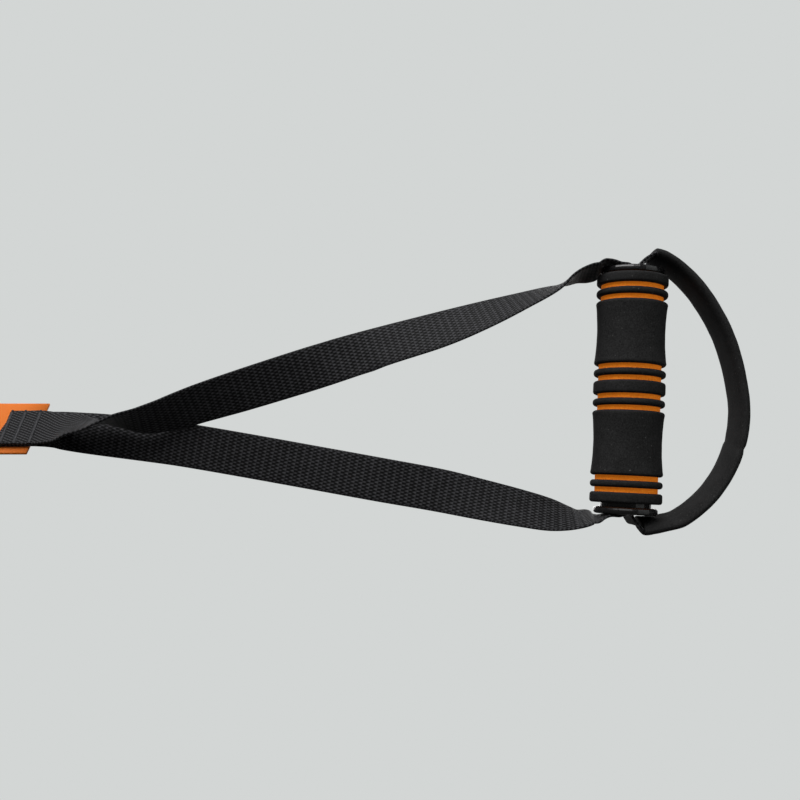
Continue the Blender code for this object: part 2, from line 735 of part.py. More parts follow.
def make_foot_loop(collection, webbing, foam, parent):
    rows, first, last = foot_route()
    loop = spline(rows, SPANS_PER_POINT, closed=True)
    centres = [Vector(row[:3]) for row in loop]
    across = rolled_across(centres, loop[:, 3], closed=True)
    section = webbing_section(WEBBING_WIDTH / 2, WEBBING_THICKNESS / 2)
    strip = sweep("foot_webbing", centres, across, section, collection, webbing, closed=True)
    attach(strip, parent)
    start = first * SPANS_PER_POINT
    end = (last - 1) * SPANS_PER_POINT + 1
    outside = oval_section(SLEEVE_HALF_WIDTH, SLEEVE_HALF_THICKNESS, SLEEVE_SIDES)
    bore_half_width = WEBBING_WIDTH / 2 + SEAT_GAP
    bore_half_thickness = WEBBING_THICKNESS / 2 + SEAT_GAP
    bore = oval_bore(bore_half_width, bore_half_thickness, outside)
    sleeve = sweep(
        "foot_sleeve", centres[start:end], across[start:end], outside, collection, foam, bore=bore
    )
    attach(sleeve, parent)
    return centres


def oval_bore(half_width, half_thickness, outside):
    """A flat slot with as many points as the outside has, for the webbing to lie in."""
    points = []
    widest = max(x for x, _ in outside)
    for x, y in outside:
        share = x / widest
        if abs(share) > BORE_TIP_SHARE:
            points.append((math.copysign(half_width + half_thickness, share), 0.0))
        else:
            points.append((half_width * share, math.copysign(half_thickness, y)))
    return points


# Main strap
def make_main_strap(collection, material, parent):
    """The orange strap, from the lap up through the buckle to its folded hem."""
    lower_end = LAP_DROP - ORANGE_END_SETBACK
    twist_start = lower_end - STRAP_REACH * TWIST_START_SHARE
    twist_end = twist_start - STRAP_REACH * TWIST_LENGTH_SHARE
    straight_end = BAR_DROP - TAIL_STRAIGHT
    rows = [(LINE_DEPTH, -lower_end, LAP_YAW), (LINE_DEPTH, -LAP_END_DROP, LAP_YAW)]
    for step in range(TWIST_STEPS + 1):
        share = step / TWIST_STEPS
        ease = share * share * (3 - 2 * share)
        drop = twist_start + (twist_end - twist_start) * share
        rows.append((LINE_DEPTH, -drop, LAP_YAW * (1 - ease)))
    rows.append((LINE_DEPTH, -(twist_end + straight_end) / 2, 0.0))
    rows.append((LINE_DEPTH, -straight_end, 0.0))
    for share in (0.25, 0.5, 0.75, 1.0):
        ease = share * share
        rows.append((LINE_DEPTH - TAIL_LEAN * ease, -straight_end + TAIL_LEAN_LENGTH * share, 0.0))
    top = -straight_end + TAIL_LEAN_LENGTH
    front = LINE_DEPTH - TAIL_LEAN
    lean = math.atan2(2 * TAIL_LEAN, TAIL_LEAN_LENGTH)
    hem_centre = (
        front - HEM_BEND_RADIUS * math.cos(lean), top - HEM_BEND_RADIUS * math.sin(lean)
    )
    for y, z in arc(hem_centre, HEM_BEND_RADIUS, lean, lean + math.pi, 6)[1:]:
        rows.append((y, z, 0.0))
    last_y, last_z, _ = rows[-1]
    for share in (0.5, 1.0):
        back_y = last_y + HEM_LENGTH * share * math.sin(lean) * (1 - share / 2)
        rows.append((back_y, last_z - HEM_LENGTH * share, 0.0))
    centres = [Vector((0.0, y, z)) for y, z, _ in rows]
    across = [Vector((math.cos(yaw), math.sin(yaw), 0.0)) for _, _, yaw in rows]
    section = webbing_section(MAIN_STRAP_WIDTH / 2, MAIN_STRAP_THICKNESS / 2)
    slopes = (-ORANGE_END_SLOPE, 0.0)
    strap = sweep(
        "main_strap", centres, across, section, collection, material, end_slopes=slopes
    )
    attach(strap, parent)
    return centres


# Anchor webbing
def make_anchor_webbing(collection, material, parent):
    """A sewn loop of webbing round the carabiner's lower bow and the buckle's bar."""
    bar_bend = BAR_RADIUS + SEAT_GAP + WEBBING_THICKNESS / 2
    rod_bend = ROD_RADIUS + SEAT_GAP + WEBBING_THICKNESS / 2
    leg = ANCHOR_LEG_SPACING / 2
    bar = (0.0, -BAR_DROP)
    bow = (0.0, -ROD_DROP)
    right_leg = [
        (leg, -BAR_DROP + 3 * bar_bend), (leg, -(BAR_DROP + ROD_DROP) / 2),
        (leg, -ROD_DROP - 3 * rod_bend),
    ]
    lower_eye = arc(bar, bar_bend, math.radians(-200), math.radians(20), 8)
    upper_eye = arc(bow, rod_bend, math.radians(-20), math.radians(200), 8)
    left_leg = [(-y, z) for y, z in reversed(right_leg)]
    route = [(0.0, y, z) for y, z in lower_eye + right_leg + upper_eye + left_leg]
    centres = [Vector(row) for row in spline(route, SPANS_PER_POINT, closed=True)]
    across = [SIDE_AXIS.copy() for _ in centres]
    section = webbing_section(WEBBING_WIDTH / 2, WEBBING_THICKNESS / 2)
    loop = sweep("anchor_webbing", centres, across, section, collection, material, closed=True)
    attach(loop, parent)
    return centres


# Carabiner
def make_carabiner(collection, cutters, steel, root, gate_axis):
    """A D-shaped bow of round bar, open where the gate closes it on the left."""
    half = CARABINER_HALF_WIDTH
    corner = CARABINER_CORNER_RADIUS
    pivot_z = -ROD_DROP + GATE_PIVOT_HEIGHT
    nose_z = -ROD_DROP + GATE_NOSE_HEIGHT
    top_z = ROD_RADIUS - half
    right_corner = arc((half - corner, -ROD_DROP + corner), corner, -math.pi / 2, 0.0, 5)
    left_corner = arc((corner - half, -ROD_DROP + corner), corner, -math.pi, -math.pi / 2, 5)
    outline = [(-half, pivot_z + GATE_EAR_HEIGHT)]
    outline += left_corner
    outline += right_corner
    outline += arc((0.0, top_z), half, 0.0, math.pi, 14)
    outline.append((-half, nose_z))
    points = [(x, 0.0, z) for x, z in outline]
    body = curve_as_mesh(
        rod("carabiner_body", points, ROD_RADIUS, collection, steel), collection, steel
    )
    slot_half = GATE_TONGUE_THICKNESS / 2 + SEAT_GAP
    slot_floor = pivot_z - GATE_TONGUE_HALF_WIDTH * math.sqrt(2.0) - SEAT_GAP
    slot = box_cutter(
        "gate_slot",
        (-half - ROD_RADIUS - CUT_OVERRUN, -slot_half, slot_floor),
        (-half + ROD_RADIUS + CUT_OVERRUN, slot_half, pivot_z + GATE_EAR_HEIGHT + CUT_OVERRUN),
        cutters,
    )
    hole_mesh = cylinder_mesh("gate_pin_hole", GATE_PIN_RADIUS + SEAT_GAP, 4 * ROD_RADIUS, 16)
    hole = style_cutter(link_object("gate_pin_hole", hole_mesh, cutters, None))
    hole.rotation_euler = (0.0, 0.0, math.pi / 2)
    hole.location = (-half, 0.0, pivot_z)
    cut(body, slot)
    cut(body, hole)
    smooth_round_faces(body)
    attach(body, root)

    rod_low = pivot_z + GATE_ROD_START
    rod_high = nose_z - GATE_NOSE_GAP
    gate = curve_as_mesh(
        rod("carabiner_gate", [(-half, 0.0, rod_low), (-half, 0.0, rod_high)], GATE_ROD_RADIUS,
            collection, steel),
        collection, steel,
    )
    tongue = box_cutter(
        "gate_tongue",
        (-half - GATE_TONGUE_HALF_WIDTH, -GATE_TONGUE_THICKNESS / 2, pivot_z - GATE_TONGUE_HALF_WIDTH),
        (-half + GATE_TONGUE_HALF_WIDTH, GATE_TONGUE_THICKNESS / 2, rod_low + CUT_OVERRUN),
        cutters,
    )
    cut(gate, tongue, "UNION")
    cut(gate, hole)
    smooth_round_faces(gate)
    attach(gate, gate_axis)

    pin_length = 2 * math.sqrt(ROD_RADIUS ** 2 - (GATE_PIN_RADIUS + SEAT_GAP) ** 2)
    pin = link_object(
        "gate_pin", cylinder_mesh("gate_pin", GATE_PIN_RADIUS, pin_length, 16), collection, steel
    )
    pin.rotation_euler = (0.0, 0.0, math.pi / 2)
    pin.location = (-half, 0.0, pivot_z)
    smooth_round_faces(pin)
    attach(pin, root)


# Cam buckle
def buckle_z(drop):
    return -BAR_DROP - drop


def make_buckle_frame(collection, cutters, steel, parent):
    """A pressed frame: a base plate behind the strap and a cheek on each side."""
    back = BAR_RADIUS + BUCKLE_SHEET
    corners = [
        (PLATE_BACK, buckle_z(BASE_PLATE_BOTTOM)),
        (LINE_DEPTH - MAIN_STRAP_THICKNESS, buckle_z(BASE_PLATE_BOTTOM)),
        (LINE_DEPTH - CHEEK_FRONT, buckle_z(CAM_DROP + CAM_TIP_RADIUS)),
        (LINE_DEPTH - CHEEK_FRONT, buckle_z(CAM_DROP - CAM_BODY_RADIUS)),
        (LINE_DEPTH, buckle_z(-CHEEK_TOP)),
        (back, buckle_z(-CHEEK_TOP)),
        (back, buckle_z(BAR_RADIUS + BUCKLE_SHEET)),
        (PLATE_BACK, buckle_z(BASE_PLATE_TOP)),
    ]
    fillet = CHEEK_FILLET
    radii = [0.0, fillet, fillet, fillet, fillet, fillet, 0.0, 0.0]
    outline = rounded_outline(corners, radii, 3)
    block = flat_outline("buckle_frame", [outline], CHEEK_OUTSIDE, collection, steel)
    frame = curve_as_mesh(block, collection, steel)
    low_z = buckle_z(BASE_PLATE_BOTTOM + CUT_OVERRUN)
    high_z = buckle_z(-CHEEK_TOP - CUT_OVERRUN)
    front = LINE_DEPTH - CHEEK_FRONT - CUT_OVERRUN
    rear = back + CUT_OVERRUN
    spaces = (
        ("strap_space", front, PLATE_FRONT, low_z, high_z),
        ("rear_space", PLATE_BACK, rear, low_z, high_z),
        ("bar_space", PLATE_FRONT - CUT_OVERRUN, rear, buckle_z(BASE_PLATE_TOP), high_z),
    )
    for name, near, far, bottom, top in spaces:
        space = box_cutter(
            name, (-CHEEK_INSIDE, near, bottom), (CHEEK_INSIDE, far, top), cutters
        )
        cut(frame, space)
    holes = (
        ("cam_pin_hole", CAM_PIN_RADIUS, CAM_PIN_DEPTH, CAM_DROP),
        ("bar_hole", BAR_RADIUS, 0.0, 0.0),
    )
    for name, radius, depth, drop in holes:
        mesh = cylinder_mesh(name, radius + SEAT_GAP, 3 * CHEEK_OUTSIDE, 24)
        hole = style_cutter(link_object(name, mesh, cutters, None))
        hole.location = (0.0, depth, buckle_z(drop))
        cut(frame, hole)
    smooth_round_faces(frame)
    attach(frame, parent)


def make_headed_pin(name, radius, depth, drop, collection, material, parent):
    """A plain pin through both cheeks, riveted over to a low head outside each."""
    shank = CHEEK_OUTSIDE + SEAT_GAP
    head = radius + PIN_HEAD_STEP
    end = shank + PIN_HEAD_LENGTH
    chamfer = PIN_HEAD_LENGTH / 2
    bm = bmesh.new()
    half_profile = [(0.0, end), (head - chamfer, end), (head, end - chamfer), (head, shank), (radius, shank)]
    profile = half_profile + [(r, -x) for r, x in reversed(half_profile)]
    verts = [bm.verts.new((x, r, 0.0)) for r, x in profile]
    edges = [bm.edges.new(pair) for pair in zip(verts, verts[1:])]
    bmesh.ops.spin(
        bm, geom=verts + edges, cent=(0.0, 0.0, 0.0), axis=(1.0, 0.0, 0.0),
        angle=2 * math.pi, steps=20, use_merge=True,
    )
    bmesh.ops.remove_doubles(bm, verts=bm.verts, dist=SEAT_GAP / 30)
    bmesh.ops.recalc_face_normals(bm, faces=bm.faces)
    pin = link_object(name, mesh_from_bmesh(name, bm), collection, material)
    pin.location = (0.0, depth, buckle_z(drop))
    smooth_round_faces(pin)
    attach(pin, parent)


def cam_outline():
    """The cam's outline round its pin: teeth that face the strap, a back and the thumb lever."""
    outline = []
    half_arc = CAM_TOOTH_ARC / 2
    pitch = CAM_TOOTH_ARC / CAM_TOOTH_COUNT
    for tooth in range(CAM_TOOTH_COUNT + 1):
        root_angle = -half_arc + pitch * tooth
        root = CAM_TIP_RADIUS + CAM_RISE_PER_RADIAN * root_angle - CAM_TOOTH_DEPTH
        outline.append((root * math.cos(root_angle), root * math.sin(root_angle)))
        if tooth < CAM_TOOTH_COUNT:
            tip_angle = root_angle + pitch * 0.3
            tip = CAM_TIP_RADIUS + CAM_RISE_PER_RADIAN * min(tip_angle, 0.0)
            outline.append((tip * math.cos(tip_angle), tip * math.sin(tip_angle)))
    blend = math.asin(LEVER_HALF_THICKNESS / CAM_BODY_RADIUS)
    back_start = half_arc + pitch
    outline += arc((0.0, 0.0), CAM_BODY_RADIUS, back_start, LEVER_ANGLE - blend, 8)
    reach = Vector((math.cos(LEVER_ANGLE), math.sin(LEVER_ANGLE)))
    left = Vector((-reach.y, reach.x))
    tip_centre = reach * LEVER_LENGTH
    start = LEVER_ANGLE - math.pi / 2
    outline += arc(tip_centre, LEVER_HALF_THICKNESS, start, start + math.pi, 4)
    lower_end = 2 * math.pi - half_arc - pitch
    outline += arc((0.0, 0.0), CAM_BODY_RADIUS, LEVER_ANGLE + blend, lower_end, 3)
    return outline


def make_cam_lever(collection, material, cam_axis):
    hole = arc((0.0, 0.0), CAM_PIN_RADIUS + SEAT_GAP, 0.0, 2 * math.pi, 16)[:-1]
    lever = flat_outline(
        "cam_lever", [cam_outline(), hole], CAM_HALF_WIDTH, collection, material
    )
    lever.location = cam_axis.location
    attach(lever, cam_axis)


def main():
    clear_scene()
    trainer = new_collection(COLLECTION_NAME)
    cutters = new_collection("cutters")

    foam = new_material("black_foam", (0.012, 0.012, 0.013), 0.92, 0.0)
    orange_foam = new_material("orange_foam", (0.62, 0.15, 0.018), 0.85, 0.0)
    plastic = new_material("black_plastic", (0.010, 0.010, 0.011), 0.30, 0.0)
    webbing = new_material("black_webbing", (0.014, 0.014, 0.015), 0.75, 0.0)
    orange = new_material("orange_webbing", (0.81, 0.20, 0.032), 0.70, 0.0)
    steel = new_material("plated_steel", (0.55, 0.55, 0.56), 0.30, 1.0)

    root = new_empty("anchor", (0.0, 0.0, 0.0))
    swing_axis = new_empty("swing_axis", (0.0, 0.0, -ROD_DROP), root)
    gate_place = (-CARABINER_HALF_WIDTH, 0.0, -ROD_DROP + GATE_PIVOT_HEIGHT)
    gate_axis = new_empty("gate_axis", gate_place, root)
    cam_axis = new_empty("cam_axis", (0.0, CAM_PIN_DEPTH, buckle_z(CAM_DROP)), swing_axis)
    strap_line = new_empty("strap_line", (0.0, LINE_DEPTH, buckle_z(CAM_DROP)), swing_axis)
    turn = (0.0, math.pi / 2 + GRIP_LEAN, 0.0)
    grip_axis = new_empty("grip_axis", GRIP_CENTRE, strap_line, turn)
    foot_axis = new_empty("foot_axis", GRIP_CENTRE, strap_line, turn)

    make_core_tube(trainer, plastic, grip_axis)
    make_inner_foam(trainer, orange_foam, grip_axis)
    make_foam_bands(trainer, foam, grip_axis)
    make_end_caps(trainer, plastic, grip_axis)
    make_yoke(trainer, webbing, strap_line)
    make_foot_loop(trainer, webbing, foam, foot_axis)
    make_main_strap(trainer, orange, strap_line)
    make_anchor_webbing(trainer, webbing, swing_axis)
    make_carabiner(trainer, cutters, steel, root, gate_axis)
    make_buckle_frame(trainer, cutters, steel, swing_axis)
    make_headed_pin("cam_pin", CAM_PIN_RADIUS, CAM_PIN_DEPTH, CAM_DROP, trainer, steel, swing_axis)
    make_headed_pin("webbing_bar", BAR_RADIUS, 0.0, 0.0, trainer, steel, swing_axis)
    make_cam_lever(trainer, steel, cam_axis)


main()
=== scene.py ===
import math

import bmesh
import bpy
import numpy as np
from mathutils import Matrix, Vector, noise


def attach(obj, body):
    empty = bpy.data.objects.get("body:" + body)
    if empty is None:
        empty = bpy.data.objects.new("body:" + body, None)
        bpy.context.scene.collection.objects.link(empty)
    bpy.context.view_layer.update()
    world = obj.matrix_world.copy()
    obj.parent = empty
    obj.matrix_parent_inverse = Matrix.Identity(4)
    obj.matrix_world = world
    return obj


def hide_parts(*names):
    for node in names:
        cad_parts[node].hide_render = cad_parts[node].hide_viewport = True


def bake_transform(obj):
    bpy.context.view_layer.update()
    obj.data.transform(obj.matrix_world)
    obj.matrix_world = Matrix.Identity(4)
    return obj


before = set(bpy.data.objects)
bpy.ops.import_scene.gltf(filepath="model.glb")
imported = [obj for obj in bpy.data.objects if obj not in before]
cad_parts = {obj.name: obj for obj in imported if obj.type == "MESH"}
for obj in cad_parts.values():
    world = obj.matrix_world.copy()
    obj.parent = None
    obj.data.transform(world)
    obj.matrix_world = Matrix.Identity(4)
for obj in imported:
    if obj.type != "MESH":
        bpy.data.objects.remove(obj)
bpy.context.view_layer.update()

bl_info = {
    "name": "Suspension trainer looks",
    "version": (1, 0, 0),
    "blender": (4, 5, 0),
    "location": "3D View > Sidebar > Trainer",
    "description": "Webbing, foam, stitching and finishes for one arm of a suspension trainer",
    "category": "Object",
}

# Sizes shared with the trainer's frame, in metres, with its angles and slopes
SEAT_GAP = 0.0003
GRIP_CENTRE = Vector((0.0225, -0.0053, -0.615))
GRIP_LEAN = math.radians(2.9)
GRIP_AXIS = Vector((math.cos(GRIP_LEAN), 0.0, -math.sin(GRIP_LEAN)))
GRIP_DOWN = Vector((-math.sin(GRIP_LEAN), 0.0, -math.cos(GRIP_LEAN)))
DEPTH_AXIS = Vector((0.0, 1.0, 0.0))
LINE_DEPTH = -0.0053
FOAM_LENGTH = 0.130
RIGHT_MOUTH = 0.0693
LEFT_MOUTH = 0.0712
FLANGE_RADIUS = 0.018
INNER_FOAM_RADIUS = 0.0176
CORE_RADIUS = 0.0159
STRIP_SPACING = 0.002
LAP_DROP = 0.280
LAP_LENGTH = 0.0205
LAP_YAW = math.radians(38.0)
LAP_SIDE_OFFSET = 0.0022
LAP_STAGGER = 0.0015
LAP_CUT_SLOPE = 0.28
ORANGE_END_SETBACK = 0.0022
ORANGE_END_SLOPE = 0.12
RIM_DROP = 0.5975
RIGHT_RIM_GAP = 0.0014
LEFT_RIM_GAP = 0.0019
RIGHT_RIM_SIDE = GRIP_CENTRE.x + RIGHT_MOUTH + RIGHT_RIM_GAP
LEFT_RIM_SIDE = GRIP_CENTRE.x - LEFT_MOUTH - LEFT_RIM_GAP
BORE_ROLL = math.radians(270.0)
TURN_INSET = 0.0042
TURN_RADIUS = 0.0052
TURN_SWEEP = math.radians(84.0)
BAR_DROP = 0.142
BAR_RADIUS = 0.0025
ROD_DROP = 0.070
ROD_RADIUS = 0.004
ANCHOR_LEG_OFFSET = 0.0009
ANCHOR_LEG_START = 3
ANCHOR_WRAP = math.radians(20.0)
STRAP_REACH = 0.096
TWIST_START = STRAP_REACH * 0.24
TWIST_LENGTH = STRAP_REACH * 0.68
TAIL_STRAIGHT = 0.046
TAIL_LEAN_LENGTH = 0.012
TAIL_LEAN = 0.004
HEM_LENGTH = 0.010
HEM_BEND_RADIUS = 0.0011
FOOT_LOOP_DEPTH = 0.063
FOOT_LOOP_HALF_SPAN = 0.0785
COLLAR_LENGTH = 0.018
FOOT_ROLL = math.pi / 2
SLEEVE_START_ROLL = math.radians(1.0)
SLEEVE_END_ROLL = math.radians(12.0)

# Sizes of the soft pieces' own details, in metres, and the crease's place as a share
SLEEVE_CREASE_SHARE = 0.57
SLEEVE_CREASE_DEPTH = 0.0008
SLEEVE_CREASE_SPREAD = 0.0012
SLEEVE_CREASE_SLANT = 0.25
SLOT_SIDE_EASE = 0.0004
SLOT_FACE_EASE = 0.0002
LINER_INSET = 0.002
MERGE_DISTANCE = 0.000001

# The strands' points: share down, share sideways, depth in webbing widths, roll in degrees
RIGHT_STRAND = (
    (0.033, -0.010, -0.24, 49), (0.062, -0.014, -0.39, 61), (0.082, -0.019, -0.43, 70),
    (0.105, -0.023, -0.43, 84), (0.134, -0.028, -0.40, 102), (0.172, -0.038, -0.35, 121),
    (0.205, -0.040, -0.29, 130), (0.240, -0.039, -0.24, 139), (0.275, -0.037, -0.20, 145),
    (0.346, -0.035, -0.14, 156), (0.453, -0.032, -0.08, 169), (0.598, -0.028, 0.0, 196),
    (0.707, -0.028, 0.0, 208), (0.780, -0.025, 0.0, 222), (0.854, -0.020, 0.0, 239),
    (0.922, -0.014, 0.0, 257), (0.948, -0.009, 0.0, 272), (0.967, -0.006, 0.0, 278),
    (0.986, -0.007, 0.0, 284),
)
LEFT_STRAND = (
    (0.982, -0.0012, 0.0, 286), (0.965, -0.0068, 0.0, 291), (0.947, -0.0085, 0.0, 300),
    (0.911, -0.008, 0.0, 316), (0.857, -0.005, 0.0, 327), (0.785, -0.001, 0.0, 338),
    (0.714, 0.003, 0.0, 348), (0.606, 0.005, -0.10, 354), (0.462, 0.008, 0.0, 357),
    (0.354, 0.010, 0.04, 360), (0.244, 0.011, 0.12, 357), (0.171, 0.009, 0.18, 352),
    (0.099, 0.006, 0.18, 345), (0.063, 0.004, 0.17, 338), (0.029, 0.002, 0.10, 330),
)

# Points round the flanges: share up, share outwards, roll in degrees, and shares of the bore
RIGHT_RIM = (
    (1.12, -0.10, 283), (0.98, 0.05, 279), (0.82, 0.10, 274), (0.66, 0.09, 272), (0.50, 0.065, 270),
)
LEFT_RIM = ((0.58, 0.06, 270), (0.76, 0.115, 272), (0.94, 0.16, 280))
BORE_SHARES = (0.9, 0.5, 0.0, -0.5, -0.9)

# Sewn bars across the lap: distance from its end and slope, and how many show behind
LAP_STITCHES = ((0.0018, 0.055), (0.0094, 0.055), (0.0180, 0.055))
BACK_STITCH_COUNT = 2

# Creases of the yoke: place along its first and its second edge, depth, spread
YOKE_CREASES = ((0.186, 0.212, 0.0012, 0.0045),)

# The foot loop's points: share down and share along, and its leads in flange radii
FOOT_LOOP = (
    (0.170, 0.982), (0.241, 0.968), (0.360, 0.914), (0.471, 0.842), (0.581, 0.751), (0.690, 0.633),
    (0.814, 0.461), (0.900, 0.288), (0.958, 0.113), (0.992, -0.039), (1.000, -0.192),
    (0.965, -0.368), (0.885, -0.545), (0.785, -0.682), (0.690, -0.776), (0.560, -0.870),
    (0.456, -0.925), (0.317, -0.957), (0.225, -0.973), (0.135, -0.981),
)
RIGHT_LEAD = ((0.062, -0.06), (0.14, 0.12), (0.30, 0.28), (0.52, 0.41))
LEFT_LEAD = ((0.065, -0.06), (0.15, 0.13), (0.30, 0.28))

# Foam bands from the grip's right end to its left: node, length, edge radius, waist
FOAM_BANDS = (
    ("foam_end_ring_right", 0.006, 0.0016, 0.0),
    ("foam_thin_ring_1", 0.004, 0.0018, 0.0),
    ("foam_long_band_right", 0.0365, 0.0016, 0.0010),
    ("foam_thin_ring_2", 0.004, 0.0018, 0.0),
    ("foam_middle_band", 0.0074, 0.0016, 0.0),
    ("foam_thin_ring_3", 0.004, 0.0018, 0.0),
    ("foam_long_band_left", 0.0365, 0.0016, 0.0010),
    ("foam_thin_ring_4", 0.004, 0.0018, 0.0),
    ("foam_end_ring_left", 0.006, 0.0016, 0.0),
)
GROOVE_LENGTH = 0.0027
BAND_EDGE_SHARE = 0.94
WAIST_REACH = 0.92
WAIST_INSET = 0.0001

# Ripples of the foam: height in metres, and how close they stand
BAND_RIPPLE = 0.00008
LINER_RIPPLE = 0.00006
RING_RIPPLE_SCALE = 220.0
SLEEVE_RIPPLE = 0.00012
SLEEVE_RIPPLE_SCALE = 180.0

# Steps of the curves and the rings
SPANS = 6
ANCHOR_SPANS = 3
SECTION_STEPS = 12
SELVEDGE_STEPS = 4
TURN_STEPS = 5
TWIST_STEPS = 24
BEND_STEPS = 8
RING_STEPS = 96
EDGE_STEPS = 6
WAIST_STEPS = 23
LINER_STEPS = 119
OVAL_STEPS = 40

# Stitches: half width, half height and knot radius in pitches, inset as a share of the length
STITCH_WIDTH_SHARE = 0.62
STITCH_HEIGHT_SHARE = 0.40
KNOT_SHARE = 0.8
STITCH_INSET_SHARE = 1 / 3

# Weaves: shares of the black webbing's own sizes, and lengths of the orange weave in metres
CROSS_SLANT_SHARE = 0.5
CROSS_LENGTH_SHARE = 0.4
LAP_FADE_SHARE = 1.3
EDGE_CORD_SHARES = (0.45, 0.48)
CORD_LENGTH_SHARE = 0.5
ORANGE_WEAVE_LENGTH = 0.0022
ORANGE_WEAVE_WIDTH = 0.0018
ORANGE_RIB_LENGTH = 0.00055

# Relief of the finishes, in metres
WEBBING_RELIEF = 0.00022
STRAP_RELIEF = 0.00003
FOAM_RELIEF = 0.00008
PLASTIC_RELIEF = 0.00002
STEEL_RELIEF = 0.00001
THREAD_RELIEF = 0.00004

# Floor and camera, and the lights by name, place, size and the setting for their power
FLOOR_CENTRE = (0.02, -0.05, -1.0)
FLOOR_RADIUS = 0.6
FLOOR_STEPS = 96
LIGHT_AIM = (0.03, 0.0, -0.48)
LIGHTS = (
    ("key", (1.00, -0.36, -0.16), 1.05, "key_power"),
    ("soft_front", (0.80, -1.05, -0.42), 0.8, "front_power"),
    ("back", (0.25, 1.2, -0.6), 0.9, "back_power"),
)
SENSOR_WIDTH = 36.0
FRAME_PIXELS = 800.0
FOCAL_PIXELS = 1031.0
CAMERA_AIM = Vector((0.0163, LINE_DEPTH, -0.484))
CAMERA_DISTANCE = 0.589
CAMERA_TURN = math.radians(4.7)


class WebbingSettings(bpy.types.PropertyGroup):
    width: bpy.props.FloatProperty(
        name="Webbing width", description="Width of the black webbing",
        default=0.025, min=0.01, max=0.05, unit="LENGTH")
    thickness: bpy.props.FloatProperty(
        name="Webbing thickness", description="Thickness of the black webbing",
        default=0.0014, min=0.0005, max=0.003, unit="LENGTH")
    strap_width: bpy.props.FloatProperty(
        name="Main strap width", description="Width of the orange strap",
        default=0.038, min=0.02, max=0.06, unit="LENGTH")
    strap_thickness: bpy.props.FloatProperty(
        name="Main strap thickness", description="Thickness of the orange strap",
        default=0.0016, min=0.0005, max=0.003, unit="LENGTH")
    weave_length: bpy.props.FloatProperty(
        name="Weave length", description="Length of one repeat of the black weave",
        default=0.0044, min=0.001, max=0.01, unit="LENGTH")
    weave_width: bpy.props.FloatProperty(
        name="Weave width", description="Width of one repeat of the black weave",
        default=0.0020, min=0.001, max=0.01, unit="LENGTH")
    stroke_width: bpy.props.FloatProperty(
        name="Stroke width", description="Distance between the weave's strokes on the lap",
        default=0.0018, min=0.0005, max=0.01, unit="LENGTH")
    sewn_length: bpy.props.FloatProperty(
        name="Drawn length", description="Length of the lap's end where the weave is drawn askew",
        default=0.040, min=0.0, max=0.1, unit="LENGTH")
    sewn_slant: bpy.props.FloatProperty(
        name="Drawn slant", description="Slope of the weave's strokes on the lap",
        default=0.45, min=-2.0, max=2.0)
    stitch_pitch: bpy.props.FloatProperty(
        name="Stitch pitch", description="Distance between the stitches of a sewn bar",
        default=0.0010, min=0.0004, max=0.003, unit="LENGTH")
    stitch_length: bpy.props.FloatProperty(
        name="Stitch length", description="Length of each stitch, which is the bar's width",
        default=0.0024, min=0.0008, max=0.006, unit="LENGTH")
    # The weave's ramp spreads this colour from painted shade in the valleys to painted highlights on
    # the crowns.
    black: bpy.props.FloatVectorProperty(
        name="Black yarn", description="Colour of the black yarn where it stands up",
        default=(0.0205, 0.0205, 0.0222), subtype="COLOR", size=3)
    orange: bpy.props.FloatVectorProperty(
        name="Orange yarn", description="Colour of the main strap",
        default=(0.88, 0.215, 0.032), subtype="COLOR", size=3)
    thread: bpy.props.FloatVectorProperty(
        name="Thread", description="Colour of the sewing thread",
        default=(0.028, 0.028, 0.033), subtype="COLOR", size=3)


class FoamSettings(bpy.types.PropertyGroup):
    radius: bpy.props.FloatProperty(
        name="Band radius", description="Outside radius of the black foam bands",
        default=0.02025, min=0.015, max=0.03, unit="LENGTH")
    sleeve_half_width: bpy.props.FloatProperty(
        name="Sleeve half width", description="Half the width of the foot sleeve",
        default=0.0148, min=0.01, max=0.03, unit="LENGTH")
    sleeve_half_thickness: bpy.props.FloatProperty(
        name="Sleeve half thickness", description="Half the thickness of the foot sleeve",
        default=0.0034, min=0.002, max=0.01, unit="LENGTH")
    black: bpy.props.FloatVectorProperty(
        name="Black foam", description="Colour of the black foam",
        default=(0.0225, 0.0225, 0.0227), subtype="COLOR", size=3)
    orange: bpy.props.FloatVectorProperty(
        name="Orange foam", description="Colour of the foam in the grooves",
        default=(0.95, 0.24, 0.016), subtype="COLOR", size=3)
    dust: bpy.props.FloatVectorProperty(
        name="Dust", description="Colour of the few pale specks on the black foam",
        default=(0.16, 0.16, 0.155), subtype="COLOR", size=3)
    # Painted light: this emission makes the orange foam glow by itself, brightening its shaded
    # grooves as light would.
    painted_glow: bpy.props.FloatProperty(
        name="Dye glow", description="How much the bright dye of the inner foam lights up by itself",
        default=0.27, min=0.0, max=1.0)


class HardwareSettings(bpy.types.PropertyGroup):
    steel: bpy.props.FloatVectorProperty(
        name="Plated steel", description="Colour of the zinc plated steel",
        default=(0.36, 0.36, 0.37), subtype="COLOR", size=3)
    plastic: bpy.props.FloatVectorProperty(
        name="Black plastic", description="Colour of the moulded end caps",
        default=(0.012, 0.012, 0.0125), subtype="COLOR", size=3)
    steel_roughness: bpy.props.FloatProperty(
        name="Steel roughness", description="How dull the plating is",
        default=0.50, min=0.0, max=1.0, subtype="FACTOR")


